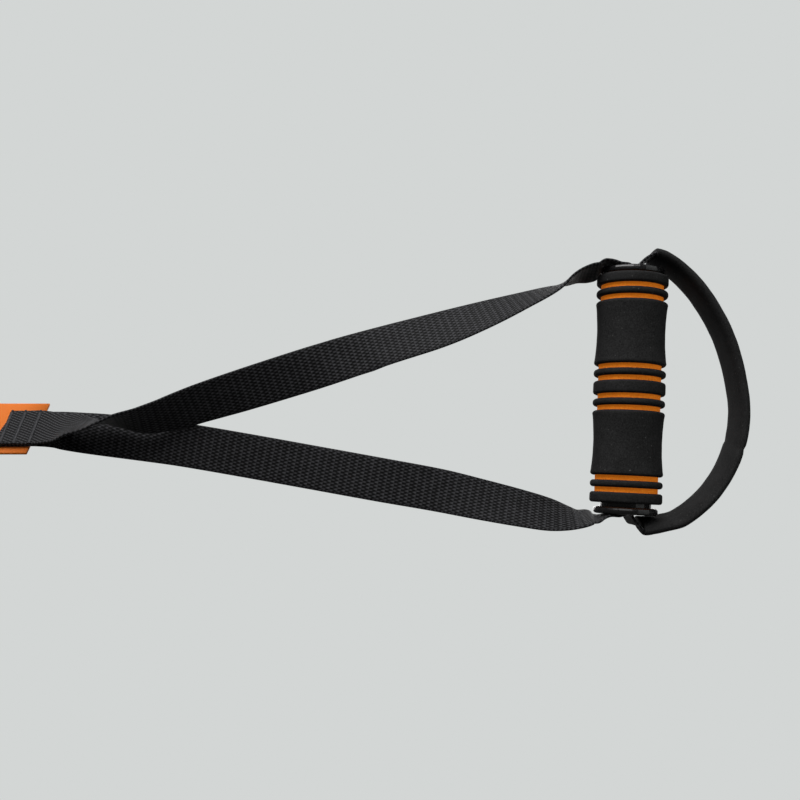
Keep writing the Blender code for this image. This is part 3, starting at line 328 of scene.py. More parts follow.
class StageSettings(bpy.types.PropertyGroup):
    backdrop: bpy.props.FloatVectorProperty(
        name="Backdrop", description="Colour behind the trainer",
        default=(0.651, 0.672, 0.665), subtype="COLOR", size=3)
    floor_evenness: bpy.props.FloatProperty(
        name="Floor evenness", description="How far the floor takes the backdrop's even tone",
        default=0.85, min=0.0, max=1.0, subtype="FACTOR")
    key_power: bpy.props.FloatProperty(
        name="Key light", description="Power of the light from the right",
        default=12.8, min=0.0, max=100.0, unit="POWER")
    front_power: bpy.props.FloatProperty(
        name="Front light", description="Power of the softer light beside the camera",
        default=2.3, min=0.0, max=100.0, unit="POWER")
    back_power: bpy.props.FloatProperty(
        name="Back light", description="Power of the light from behind",
        default=5.0, min=0.0, max=100.0, unit="POWER")
    fill: bpy.props.FloatProperty(
        name="Fill", description="Strength of the light from all round",
        default=0.032, min=0.0, max=2.0)
    gleam: bpy.props.FloatProperty(
        name="Gleam", description="Brightness of the room that shiny pieces mirror",
        default=0.05, min=0.0, max=2.0)


# Materials
class Finish:
    """A material whose nodes are added one at a time, each giving back its output."""

    def __init__(self, name, colour, roughness, metallic=0.0):
        self.material = bpy.data.materials.new(name)
        self.material.use_nodes = True
        self.tree = self.material.node_tree
        self.shader = self.tree.nodes["Principled BSDF"]
        self.set("Base Color", (*colour, 1.0))
        self.set("Roughness", roughness)
        self.set("Metallic", metallic)

    def set(self, name, value):
        """Give one of the shader's own sockets a plain value."""
        self.shader.inputs[name].default_value = value

    def feed(self, socket, value):
        """Link an output to the socket, or set a plain value on it."""
        if isinstance(value, bpy.types.NodeSocket):
            self.tree.links.new(value, socket)
        else:
            socket.default_value = value

    def math(self, operation, first, second=0.0):
        node = self.tree.nodes.new("ShaderNodeMath")
        node.operation = operation
        self.feed(node.inputs[0], first)
        self.feed(node.inputs[1], second)
        return node.outputs[0]

    def wave(self, value, period, phase=0.0):
        """A cosine from 0 to 1 that repeats every period."""
        turns = self.math("MULTIPLY", value, 2 * math.pi / period)
        cosine = self.math("COSINE", self.math("ADD", turns, phase))
        return self.math("ADD", self.math("MULTIPLY", cosine, 0.5), 0.5)

    def lattice(self, along, across, length, width):
        """Bricks in staggered rows, from -0.25 between them to 0.25 on them."""
        rows = self.math("SUBTRACT", self.wave(along, length), 0.5)
        columns = self.math("SUBTRACT", self.wave(across, width), 0.5)
        return self.math("MULTIPLY", rows, columns)

    def weigh(self, first, first_share, second, second_share):
        """Two values added by their shares."""
        one = self.math("MULTIPLY", first, first_share)
        other = self.math("MULTIPLY", second, second_share)
        return self.math("ADD", one, other)

    def uv(self):
        """The webbing's flat map: whole, then how far along and how far across, in metres."""
        node = self.tree.nodes.new("ShaderNodeUVMap")
        node.uv_map = "weave"
        split = self.tree.nodes.new("ShaderNodeSeparateXYZ")
        self.tree.links.new(node.outputs[0], split.inputs[0])
        return node.outputs[0], split.outputs[0], split.outputs[1]

    def place(self):
        """Where a point lies on the piece, in metres."""
        return self.tree.nodes.new("ShaderNodeTexCoord").outputs["Object"]

    def noise(self, place, scale, detail, roughness=0.5):
        node = self.tree.nodes.new("ShaderNodeTexNoise")
        self.feed(node.inputs["Vector"], place)
        node.inputs["Scale"].default_value = scale
        node.inputs["Detail"].default_value = detail
        node.inputs["Roughness"].default_value = roughness
        return node.outputs[0]

    def ramp(self, value, stops):
        """A colour that follows the value through stops of position and colour."""
        node = self.tree.nodes.new("ShaderNodeValToRGB")
        self.feed(node.inputs[0], value)
        elements = node.color_ramp.elements
        while len(elements) < len(stops):
            elements.new(0.5)
        for element, (position, colour) in zip(elements, stops):
            element.position = position
            element.color = (*colour, 1.0)
        return node.outputs[0]

    def levels(self, value, low, high, new_low=0.0, new_high=1.0):
        """The value stretched from one range to another, and held at its ends."""
        node = self.tree.nodes.new("ShaderNodeMapRange")
        self.feed(node.inputs[0], value)
        for socket, number in zip(node.inputs[1:5], (low, high, new_low, new_high)):
            socket.default_value = number
        return node.outputs[0]

    def mix(self, share, first, second):
        """Two colours mixed by a share."""
        node = self.tree.nodes.new("ShaderNodeMix")
        node.data_type = "RGBA"
        self.feed(node.inputs[0], share)
        for socket, value in ((node.inputs[6], first), (node.inputs[7], second)):
            self.feed(socket, value if isinstance(value, bpy.types.NodeSocket) else (*value, 1.0))
        return node.outputs[2]

    def blend(self, share, first, second):
        """Two numbers mixed by a share."""
        node = self.tree.nodes.new("ShaderNodeMix")
        for socket, value in zip((node.inputs[0], node.inputs[2], node.inputs[3]),
                                 (share, first, second)):
            self.feed(socket, value)
        return node.outputs[0]

    def bump(self, height, distance, strength):
        node = self.tree.nodes.new("ShaderNodeBump")
        node.inputs["Strength"].default_value = strength
        node.inputs["Distance"].default_value = distance
        self.feed(node.inputs["Height"], height)
        self.tree.links.new(node.outputs[0], self.shader.inputs["Normal"])

    def colour(self, value):
        self.feed(self.shader.inputs["Base Color"], value)

    def vary_roughness(self, value, low, high, spread):
        """Spread the roughness round its own number as the value goes from low to high."""
        socket = self.shader.inputs["Roughness"]
        middle = socket.default_value
        self.feed(socket, self.levels(value, low, high, middle - spread, middle + spread))


def shades(colour, *shares):
    """Darker and lighter kinds of a colour."""
    return [tuple(share * part for part in colour) for share in shares]


def black_webbing(settings):
    """Black webbing: rows of short floats, staggered like bricks, and a cord at each edge, with
    painted shade in the weave's valleys and painted highlights on its crowns.
    """
    finish = Finish("black_webbing", settings.black, 0.61)
    uv, along, across = finish.uv()
    lattice = finish.lattice(along, across, settings.weave_length, settings.weave_width)
    bricks = finish.levels(lattice, -0.20, 0.22)
    slanted = finish.math("ADD", across, finish.math("MULTIPLY", along, settings.sewn_slant))
    crossing = finish.math("MULTIPLY", across, settings.sewn_slant * CROSS_SLANT_SHARE)
    crossed = finish.math("SUBTRACT", along, crossing)
    cross_wave = finish.wave(crossed, settings.weave_length * CROSS_LENGTH_SHARE)
    strokes = finish.math(
        "MULTIPLY",
        finish.levels(finish.wave(slanted, settings.stroke_width), 0.35, 0.95, 0.0, 1.5),
        finish.levels(cross_wave, 0.0, 0.6, 0.5, 1.0),
    )
    fade_end = settings.sewn_length * LAP_FADE_SHARE
    sewn = finish.levels(along, settings.sewn_length, fade_end, 1.0, 0.0)
    floats = finish.blend(sewn, bricks, strokes)
    thread = finish.levels(finish.wave(along, settings.weave_length, 0.9), 0.70, 1.0, 0.0, 0.35)
    face = finish.math("ADD", floats, finish.blend(sewn, thread, 0.0))
    edge_start, edge_end = (settings.width * share for share in EDGE_CORD_SHARES)
    edge = finish.levels(finish.math("ABSOLUTE", across), edge_start, edge_end)
    cord_wave = finish.wave(along, settings.weave_length * CORD_LENGTH_SHARE)
    cord = finish.levels(cord_wave, 0.0, 1.0, 0.35, 0.95)
    height = finish.blend(edge, face, cord)
    wear = finish.noise(uv, scale=160.0, detail=3.0)
    tone = finish.math("ADD", height, finish.levels(wear, 0.3, 0.7, -0.10, 0.10))
    # The weave's height sets the colour: painted shade darkens the valleys and painted highlights
    # lighten the raised floats, strokes and cords, on top of the random wear.
    shaded_valley, middle, lit_crown = shades(settings.black, 0.10, 0.60, 3.2)
    finish.colour(finish.ramp(tone, ((0.12, shaded_valley), (0.55, middle), (1.0, lit_crown))))
    finish.vary_roughness(wear, 0.2, 0.8, spread=0.05)
    finish.bump(height, WEBBING_RELIEF, strength=0.8)
    finish.set("Specular IOR Level", 0.12)
    finish.set("Sheen Weight", 0.36)
    finish.set("Sheen Roughness", 0.40)
    return finish.material


def orange_webbing(settings):
    """Orange strap: a tight plain weave with faint ribs across and soiling."""
    finish = Finish("orange_webbing", settings.orange, 0.73)
    uv, along, across = finish.uv()
    lattice = finish.lattice(along, across, ORANGE_WEAVE_LENGTH, ORANGE_WEAVE_WIDTH)
    floats = finish.levels(lattice, -0.25, 0.25)
    ribs = finish.wave(along, ORANGE_RIB_LENGTH)
    dirt = finish.noise(uv, scale=60.0, detail=4.0)
    low, high = shades(settings.orange, 0.985, 1.015)
    tone = finish.weigh(floats, 0.5, dirt, 0.5)
    finish.colour(finish.ramp(tone, ((0.25, low), (0.75, high))))
    finish.vary_roughness(dirt, 0.3, 0.7, spread=0.07)
    height = finish.math("ADD", floats, finish.math("MULTIPLY", ribs, 0.3))
    finish.bump(height, STRAP_RELIEF, strength=0.6)
    finish.set("Specular IOR Level", 0.2)
    return finish.material


def foam(name, colour, dust, glow=0.0):
    """Closed-cell foam: fine cells, slow mottling, a few specks of dust and, when a glow is given,
    painted light.
    """
    finish = Finish(name, colour, 0.92)
    place = finish.place()
    cells = finish.noise(place, scale=1100.0, detail=3.0, roughness=0.8)
    mottle = finish.noise(place, scale=90.0, detail=3.0)
    specks = finish.levels(finish.noise(place, scale=1100.0, detail=0.0), 0.82, 0.90)
    low, high = shades(colour, 0.45, 1.75)
    tone = finish.weigh(cells, 0.8, mottle, 0.2)
    body = finish.ramp(tone, ((0.35, low), (0.65, high)))
    finish.colour(finish.mix(specks, body, dust))
    finish.vary_roughness(cells, 0.3, 0.7, spread=0.06)
    finish.bump(cells, FOAM_RELIEF, strength=0.6)
    finish.set("Specular IOR Level", 0.2)
    # Painted light: an emission in the foam's own colour that lights it where it lies in shade.
    if glow:
        finish.set("Emission Color", (*colour, 1.0))
        finish.set("Emission Strength", glow)
    return finish.material


def moulded_plastic(settings):
    """Glossy moulded plastic with handling marks."""
    finish = Finish("moulded_plastic", settings.plastic, 0.28)
    place = finish.place()
    marks = finish.noise(place, scale=260.0, detail=4.0, roughness=0.6)
    fine = finish.noise(place, scale=1800.0, detail=2.0)
    low, high = shades(settings.plastic, 0.85, 1.2)
    finish.colour(finish.ramp(marks, ((0.3, low), (0.7, high))))
    finish.vary_roughness(marks, 0.25, 0.75, spread=0.08)
    finish.bump(fine, PLASTIC_RELIEF, strength=0.5)
    finish.set("Coat Weight", 0.7)
    finish.set("Coat Roughness", 0.15)
    return finish.material


def plated_steel(settings):
    """Zinc plated steel: a faint crystalline mottle and drawn scratches."""
    finish = Finish("plated_steel", settings.steel, settings.steel_roughness, metallic=1.0)
    place = finish.place()
    crystals = finish.noise(place, scale=420.0, detail=3.0, roughness=0.6)
    drawn = finish.tree.nodes.new("ShaderNodeMapping")
    finish.feed(drawn.inputs["Vector"], place)
    drawn.inputs["Scale"].default_value = (1.0, 1.0, 0.06)
    scratches = finish.noise(drawn.outputs[0], scale=3200.0, detail=2.0, roughness=0.6)
    low, high = shades(settings.steel, 0.92, 1.06)
    finish.colour(finish.ramp(crystals, ((0.3, low), (0.7, high))))
    wear = finish.weigh(crystals, 0.5, scratches, 0.5)
    finish.vary_roughness(wear, 0.3, 0.7, spread=0.06)
    finish.bump(scratches, STEEL_RELIEF, strength=0.4)
    return finish.material


def sewing_thread(settings):
    """Twisted bonded thread."""
    finish = Finish("black_thread", settings.thread, 0.55)
    twist = finish.noise(finish.place(), scale=3000.0, detail=2.0)
    low, high = shades(settings.thread, 0.6, 1.3)
    finish.colour(finish.ramp(twist, ((0.3, low), (0.7, high))))
    finish.bump(twist, THREAD_RELIEF, strength=0.8)
    return finish.material


# The grip's frame, and the routes that the webbing follows
def axes_matrix(origin, axes, sizes=(1.0, 1.0, 1.0)):
    """A matrix that stands at the origin given, with three axes stretched to the sizes."""
    matrix = Matrix.Translation(origin)
    for column, (axis, size) in enumerate(zip(axes, sizes)):
        for row in range(3):
            matrix[row][column] = axis[row] * size
    return matrix


def grip_matrix():
    """The grip's own frame: its axis is Z, and X points down."""
    return axes_matrix(GRIP_CENTRE, (GRIP_DOWN, DEPTH_AXIS, GRIP_AXIS))


def grip_point(down, along):
    """A place below the grip's centre and along the grip's axis."""
    return GRIP_CENTRE + GRIP_DOWN * down + GRIP_AXIS * along


def arc(centre, radius, start, end):
    """Points on an arc from one angle to another."""
    angles = [start + (end - start) * step / BEND_STEPS for step in range(BEND_STEPS + 1)]
    return [(centre[0] + radius * math.cos(a), centre[1] + radius * math.sin(a)) for a in angles]


def spline(points, spans, closed=False):
    """A smooth curve through rows of numbers, with the spans given between rows."""
    rows = np.array(points, dtype=float)
    if closed:
        rows = np.vstack((rows[-1], rows, rows[0], rows[1]))
    else:
        rows = np.vstack((2 * rows[0] - rows[1], rows, 2 * rows[-1] - rows[-2]))
    curve = []
    for index in range(1, len(rows) - 2):
        p0, p1, p2, p3 = rows[index - 1:index + 3]
        steps = [math.sqrt(np.linalg.norm((b - a)[:3])) for a, b in ((p0, p1), (p1, p2), (p2, p3))]
        t1 = steps[0]
        t2 = t1 + steps[1]
        t3 = t2 + steps[2]
        for span in range(spans):
            t = t1 + (t2 - t1) * span / spans
            a1 = p0 * (t1 - t) / t1 + p1 * t / t1
            a2 = p1 * (t2 - t) / (t2 - t1) + p2 * (t - t1) / (t2 - t1)
            a3 = p2 * (t3 - t) / (t3 - t2) + p3 * (t - t2) / (t3 - t2)
            b1 = a1 * (t2 - t) / t2 + a2 * t / t2
            b2 = a2 * (t3 - t) / (t3 - t1) + a3 * (t - t1) / (t3 - t1)
            curve.append(b1 * (t2 - t) / (t2 - t1) + b2 * (t - t1) / (t2 - t1))
    if not closed:
        curve.append(rows[-2])
    return np.array(curve)


def tangents(centres, closed):
    """The direction of the route at each of its points."""
    result = []
    last = len(centres) - 1
    for index in range(len(centres)):
        if closed:
            step = centres[(index + 1) % len(centres)] - centres[index - 1]
        else:
            step = centres[min(index + 1, last)] - centres[max(index - 1, 0)]
        result.append(step.normalized())
    return result


def rolled_across(centres, rolls, closed=False):
    """The webbing's width direction: across the trainer at roll 0, in depth at 90."""
    directions = []
    for tangent, roll in zip(tangents(centres, closed), rolls):
        side = tangent.cross(DEPTH_AXIS).normalized()
        depth = side.cross(tangent)
        directions.append(side * math.cos(roll) + depth * math.sin(roll))
    return directions


def strand_rows(start, end, shares, width):
    """Places and rolls of a strand, from shares of the straight run between its ends."""
    run = end - start
    down = run.normalized()
    side = down.cross(DEPTH_AXIS).normalized()
    rows = []
    for along, sideways, depth, roll in shares:
        place = start + run * along + side * run.length * sideways + DEPTH_AXIS * width * depth
        rows.append((*place, math.radians(roll)))
    return rows


def turn_rows(mouth, direction):
    """The webbing's turn out of the bore, up towards the flange's rim."""
    rows = []
    for step in range(TURN_STEPS + 1):
        angle = TURN_SWEEP * step / TURN_STEPS
        down = -STRIP_SPACING / 2 - TURN_RADIUS * (1 - math.cos(angle))
        along = mouth - TURN_INSET + TURN_RADIUS * math.sin(angle)
        rows.append((*grip_point(down, direction * along), BORE_ROLL))
    return rows


def rim_rows(mouth, direction, shares):
    """Places and rolls beside the flange, from shares of its radius."""
    rows = []
    for up, out, roll in shares:
        along = mouth + FLANGE_RADIUS * out
        rows.append((*grip_point(-FLANGE_RADIUS * up, direction * along), math.radians(roll)))
    return rows


def lap_rows(layer, roll, top, settings):
    """One layer of the lap, flat on the orange strap, from its top down to the fork."""
    normal = Vector((math.sin(LAP_YAW), -math.cos(LAP_YAW), 0.0))
    across = Vector((math.cos(LAP_YAW), math.sin(LAP_YAW), 0.0))
    first = settings.strap_thickness / 2 + SEAT_GAP + settings.thickness / 2
    offset = normal * (first + layer * (settings.thickness + SEAT_GAP)) - across * LAP_SIDE_OFFSET
    drops = (top, (top + LAP_DROP) / 2, LAP_DROP)
    return [(offset.x, LINE_DEPTH + offset.y, -drop, roll) for drop in drops]


def yoke_route(settings):
    """The yoke from the lap down the right strand, through the grip and back up."""
    fork = Vector((0.0, LINE_DEPTH, -LAP_DROP))
    right_rim = Vector((RIGHT_RIM_SIDE, LINE_DEPTH, -RIM_DROP))
    left_rim = Vector((LEFT_RIM_SIDE, LINE_DEPTH, -RIM_DROP))
    rows = lap_rows(1, LAP_YAW, LAP_DROP - LAP_LENGTH, settings)
    rows += strand_rows(fork, right_rim, RIGHT_STRAND, settings.width)
    rows += rim_rows(RIGHT_MOUTH, 1, RIGHT_RIM)
    rows += reversed(turn_rows(RIGHT_MOUTH, 1))
    for share in BORE_SHARES:
        along = FOAM_LENGTH / 2 * share
        rows.append((*grip_point(-STRIP_SPACING / 2, along), BORE_ROLL))
    rows += turn_rows(LEFT_MOUTH, -1)
    rows += rim_rows(LEFT_MOUTH, -1, LEFT_RIM)
    rows += strand_rows(fork, left_rim, LEFT_STRAND, settings.width)
    top = LAP_DROP - LAP_LENGTH + LAP_STAGGER
    rows += reversed(lap_rows(0, 2 * math.pi - LAP_YAW, top, settings))
    return rows


def foot_route():
    """The foot loop, and the numbers of the rows between which the sleeve covers it."""
    rows = []
    for along in (-LEFT_MOUTH + COLLAR_LENGTH, 0.0, RIGHT_MOUTH - COLLAR_LENGTH):
        rows.append((*grip_point(STRIP_SPACING / 2, along), FOOT_ROLL))
    for down, out in RIGHT_LEAD:
        place = grip_point(FLANGE_RADIUS * down, RIGHT_MOUTH + FLANGE_RADIUS * out)
        rows.append((*place, FOOT_ROLL))
    sleeve_start = len(rows)
    last = len(FOOT_LOOP) - 1
    for index, (down, along) in enumerate(FOOT_LOOP):
        place = grip_point(FOOT_LOOP_DEPTH * down, FOOT_LOOP_HALF_SPAN * along)
        lateness = 2 * index / last - 1
        turn = SLEEVE_END_ROLL if lateness > 0 else SLEEVE_START_ROLL
        rows.append((*place, FOOT_ROLL + turn * abs(lateness)))
    sleeve_end = len(rows) - 1
    for down, out in reversed(LEFT_LEAD):
        place = grip_point(FLANGE_RADIUS * down, -LEFT_MOUTH - FLANGE_RADIUS * out)
        rows.append((*place, FOOT_ROLL))
    return rows, sleeve_start, sleeve_end


def strap_route():
    """The orange strap: its middle line and yaw, from the lap up to its hem."""
    lower_end = LAP_DROP - ORANGE_END_SETBACK
    rows = [(LINE_DEPTH, -lower_end, LAP_YAW), (LINE_DEPTH, LAP_LENGTH - LAP_DROP, LAP_YAW)]
    for step in range(TWIST_STEPS + 1):
        share = step / TWIST_STEPS
        ease = share * share * (3 - 2 * share)
        drop = lower_end - TWIST_START - TWIST_LENGTH * share
        rows.append((LINE_DEPTH, -drop, LAP_YAW * (1 - ease)))
    top = TAIL_STRAIGHT - BAR_DROP
    for share in (0.5, 1.0):
        twist_end = TWIST_START + TWIST_LENGTH - lower_end
        rows.append((LINE_DEPTH, twist_end + (top - twist_end) * share, 0.0))
    for step in range(1, BEND_STEPS + 1):
        share = step / BEND_STEPS
        rows.append((LINE_DEPTH - TAIL_LEAN * share * share, top + TAIL_LEAN_LENGTH * share, 0.0))
    lean = math.atan2(2 * TAIL_LEAN, TAIL_LEAN_LENGTH)
    centre = (
        LINE_DEPTH - TAIL_LEAN - HEM_BEND_RADIUS * math.cos(lean),
        top + TAIL_LEAN_LENGTH - HEM_BEND_RADIUS * math.sin(lean),
    )
    rows += [(y, z, 0.0) for y, z in arc(centre, HEM_BEND_RADIUS, lean, lean + math.pi)[1:]]
    last_y, last_z, _ = rows[-1]
    for share in (0.25, 0.5, 0.75, 1.0):
        back = HEM_LENGTH * share * math.sin(lean) * (1 - share / 2)
        rows.append((last_y + back, last_z - HEM_LENGTH * share, 0.0))
    return rows


def anchor_route(settings):
    """The anchor loop: round the buckle's bar, up, round the carabiner's rod and back."""
    bar_bend = BAR_RADIUS + SEAT_GAP + settings.thickness / 2
    rod_bend = ROD_RADIUS + SEAT_GAP + settings.thickness / 2
    right_leg = [
        (ANCHOR_LEG_OFFSET, -BAR_DROP + ANCHOR_LEG_START * bar_bend),
        (ANCHOR_LEG_OFFSET, -(BAR_DROP + ROD_DROP) / 2),
        (ANCHOR_LEG_OFFSET, -ROD_DROP - ANCHOR_LEG_START * rod_bend),
    ]
    lower_eye = arc((0.0, -BAR_DROP), bar_bend, -math.pi - ANCHOR_WRAP, ANCHOR_WRAP)
    upper_eye = arc((0.0, -ROD_DROP), rod_bend, -ANCHOR_WRAP, math.pi + ANCHOR_WRAP)
    left_leg = [(-y, z) for y, z in reversed(right_leg)]
    return [(0.0, y, z) for y, z in lower_eye + right_leg + upper_eye + left_leg]


# Meshes of the webbing, the stitches and the foam
def new_piece(name, bm, material, body, nodes=()):
    """Link a finished bmesh as a piece that rides on one of the trainer's bodies."""
    mesh = bpy.data.meshes.new(name)
    bm.to_mesh(mesh)
    bm.free()
    mesh.materials.append(material)
    piece = bpy.data.objects.new(name, mesh)
    bpy.context.scene.collection.objects.link(piece)
    mesh.shade_smooth()
    if body:
        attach(piece, body)
    if nodes:
        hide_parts(*nodes)
    return piece


def webbing_section(width, thickness):
    """A flat strip's outline: front, rounded selvedge, back and the other selvedge."""
    edge = thickness / 2
    flat = width / 2 - edge
    front = [(flat * share, edge) for share in np.linspace(-1.0, 1.0, SECTION_STEPS + 1)]
    turns = [math.pi * step / SELVEDGE_STEPS for step in range(1, SELVEDGE_STEPS)]
    right = [(flat + edge * math.sin(turn), edge * math.cos(turn)) for turn in turns]
    back = [(-u, -v) for u, v in front]
    left = [(-u, -v) for u, v in right]
    return front + right + back + left


def ribbon(centres, across, width, thickness, closed=False, slopes=(0.0, 0.0), creases=()):
    """Webbing: a flat strip's outline carried along its route, with its length as UV."""
    section = webbing_section(width, thickness)
    if closed:
        centres = list(centres) + [centres[0]]
        across = list(across) + [across[0]]
    bm = bmesh.new()
    uv_layer = bm.loops.layers.uv.new("weave")
    lengths = [0.0]
    for start, end in zip(centres, centres[1:]):
        lengths.append(lengths[-1] + (end - start).length)
    count = len(section)
    rows = len(centres) - 1
    bmesh.ops.create_grid(bm, x_segments=rows, y_segments=count, size=0.5)
    lines = tangents(centres[:-1] if closed else centres, closed)
    places = {}
    for vert in bm.verts:
        places[vert] = (round((vert.co.x + 0.5) * rows), round((vert.co.y + 0.5) * count))
    for face in bm.faces:
        for loop in face.loops:
            row, step = places[loop.vert]
            loop[uv_layer].uv = (lengths[row], section[step % count][0])
    for vert, (row, step) in places.items():
        tangent = lines[row % len(lines)]
        side = (across[row] - tangent * across[row].dot(tangent)).normalized()
        normal = tangent.cross(side)
        u, v = section[step % count]
        vert.co = centres[row] + side * u + normal * v
        if not closed and row in (0, rows):
            vert.co += tangent * u * slopes[0 if row == 0 else 1]
        for start, end, depth, spread in creases:
            middle = start + (end - start) * (u / width + 0.5)
            offset = (lengths[row] - middle) / spread
            vert.co += normal * depth * math.exp(-offset * offset)
    bmesh.ops.remove_doubles(bm, verts=bm.verts, dist=MERGE_DISTANCE)
    if not closed:
        bmesh.ops.holes_fill(bm, edges=[edge for edge in bm.edges if edge.is_boundary])
    bmesh.ops.recalc_face_normals(bm, faces=bm.faces)
    return bm


def stitch_bar(bm, start, end, lie, settings):
    """Sew a dense row of short stitches between two points, with a knot at the end."""
    span = end - start
    step_side = span.normalized()
    count = max(2, round(span.length / settings.stitch_pitch))
    axes = (lie, step_side, lie.cross(step_side))
    stitch = (
        settings.stitch_length / 2,
        settings.stitch_pitch * STITCH_WIDTH_SHARE,
        settings.stitch_pitch * STITCH_HEIGHT_SHARE,
    )
    knot = (settings.stitch_pitch * KNOT_SHARE,) * 3
    for step in range(count + 1):
        sizes = knot if step == count else stitch
        matrix = axes_matrix(start + span * (step / count), axes, sizes)
        bmesh.ops.create_uvsphere(bm, u_segments=10, v_segments=6, radius=1.0, matrix=matrix)


def lap_seams(end_middle, side, settings):
    """The sewn bars across the lap, from the middle of the yoke's first end."""
    bm = bmesh.new()
    pull = Vector((0.0, 0.0, -1.0))
    facing = Vector((math.sin(LAP_YAW), -math.cos(LAP_YAW), 0.0))
    through = settings.strap_thickness + 2 * (settings.thickness + SEAT_GAP) + SEAT_GAP
    half = settings.width / 2 - settings.stitch_length * STITCH_INSET_SHARE
    front = settings.thickness / 2
    for number, (along, slope) in enumerate(LAP_STITCHES):
        depths = [front]
        if number < BACK_STITCH_COUNT:
            depths.append(front - through)
        for depth in depths:
            ends = [
                end_middle + pull * (along + slope * u) + side * u + facing * depth
                for u in (-half, half)
            ]
            stitch_bar(bm, ends[0], ends[1], pull, settings)
    return bm


def turned_ring(profile, matrix, ripple):
    """Spin a closed profile of radius and height into a rippled ring in the grip's frame."""
    bm = bmesh.new()
    verts = [bm.verts.new((radius, 0.0, height)) for radius, height in profile]
    edges = [bm.edges.new((vert, verts[(i + 1) % len(verts)])) for i, vert in enumerate(verts)]
    bmesh.ops.spin(
        bm, geom=verts + edges, cent=(0.0, 0.0, 0.0), axis=(0.0, 0.0, 1.0),
        angle=2 * math.pi, steps=RING_STEPS, use_merge=True,
    )
    bmesh.ops.recalc_face_normals(bm, faces=bm.faces)
    for vert in bm.verts:
        swell = noise.noise(vert.co * RING_RIPPLE_SCALE) * ripple
        radial = Vector((vert.co.x, vert.co.y, 0.0)).normalized()
        vert.co += radial * swell
    bmesh.ops.transform(bm, matrix=matrix, verts=bm.verts)
    return bm


def band_profile(inner, outer, length, fillet, waist):
    """Half a foam band in section: a bore, rounded edges and, where it has one, a waist."""
    half = length / 2
    edge = min(fillet, half * BAND_EDGE_SHARE)
    flat = half - edge
    upper = [
        (outer - edge * (1 - math.sin(a)), half - edge * (1 - math.cos(a)))
        for a in np.linspace(0.0, math.pi / 2, EDGE_STEPS + 1)
    ]
    profile = list(upper)
    if waist:
        for share in np.linspace(WAIST_REACH, -WAIST_REACH, WAIST_STEPS + 1):
            profile.append((outer - waist * (1 - share ** 2) - WAIST_INSET, flat * share))
    profile += [(radius, -height) for radius, height in reversed(upper)]
    profile += [(inner, -half), (inner, half)]
    return profile


def oval(half_width, half_thickness):
    """A full oval outline, between an ellipse and a rounded box."""
    points = []
    for step in range(OVAL_STEPS):
        angle = 2 * math.pi * step / OVAL_STEPS
        bulge = (math.cos(angle) ** 4 + math.sin(angle) ** 4) ** -0.25
        fullness = 1 + (bulge - 1) / 2
        limit = 1 / max(abs(math.cos(angle)), 1 / fullness)
        x = half_width * math.cos(angle) * min(fullness, limit)
        points.append((x, half_thickness * math.sin(angle) * fullness))
    return points


def tube_rings(bm, centres, across, section):
    """Lay a grid round a route as a tube. Gives back its two end rings."""
    count = len(section)
    rows = len(centres) - 1
    made = bmesh.ops.create_grid(bm, x_segments=rows, y_segments=count, size=0.5)
    lines = tangents(centres, False)
    ends = {0: [], rows: []}
    for vert in made["verts"]:
        row = round((vert.co.x + 0.5) * rows)
        step = round((vert.co.y + 0.5) * count) % count
        side = (across[row] - lines[row] * across[row].dot(lines[row])).normalized()
        normal = lines[row].cross(side)
        u, v = section[step]
        vert.co = centres[row] + side * u + normal * v
        if row in ends:
            ends[row].append(vert)
    return ends[0], ends[rows]


def end_edges(verts):
    """The open edges between the points of a ring that are left after a merge."""
    ring = [vert for vert in verts if vert.is_valid]
    group = set(ring)
    found = dict.fromkeys(
        edge for vert in ring for edge in vert.link_edges
        if edge.other_vert(vert) in group and edge.is_boundary
    )
    return list(found)


def foam_sleeve(centres, across, settings, webbing):
    """A padded tube with a slot for the webbing, creased across once and softly rippled."""
    outline = oval(settings.sleeve_half_width, settings.sleeve_half_thickness)
    slot = oval(
        webbing.width / 2 + SEAT_GAP + SLOT_SIDE_EASE,
        webbing.thickness / 2 + SEAT_GAP + SLOT_FACE_EASE,
    )
    bm = bmesh.new()
    outer_ends = tube_rings(bm, centres, across, outline)
    inner_ends = tube_rings(bm, centres, across, slot)
    bmesh.ops.remove_doubles(bm, verts=bm.verts, dist=MERGE_DISTANCE)
    for outer, inner in zip(outer_ends, inner_ends):
        bmesh.ops.bridge_loops(bm, edges=end_edges(outer) + end_edges(inner))
    bmesh.ops.recalc_face_normals(bm, faces=bm.faces)
    row = round(len(centres) * SLEEVE_CREASE_SHARE)
    run = (centres[row + 1] - centres[row]).normalized()
    crease_line = (run + DEPTH_AXIS * SLEEVE_CREASE_SLANT).normalized()
    for vert in bm.verts:
        offset = (vert.co - centres[row]).dot(crease_line) / SLEEVE_CREASE_SPREAD
        dent = SLEEVE_CREASE_DEPTH * math.exp(-offset * offset)
        swell = noise.noise(vert.co * SLEEVE_RIPPLE_SCALE) * SLEEVE_RIPPLE
        vert.co += vert.normal * (swell - dent)
    return bm


# Surroundings, floor, lights and camera
def join_shaders(tree, share, first, second, output):
    """Mix two shaders by a share and lead them to the output."""
    mix = tree.nodes.new("ShaderNodeMixShader")
    for socket, source in zip(mix.inputs, (share, first.outputs[0], second.outputs[0])):
        tree.links.new(source, socket)
    tree.links.new(mix.outputs[0], output.inputs[0])


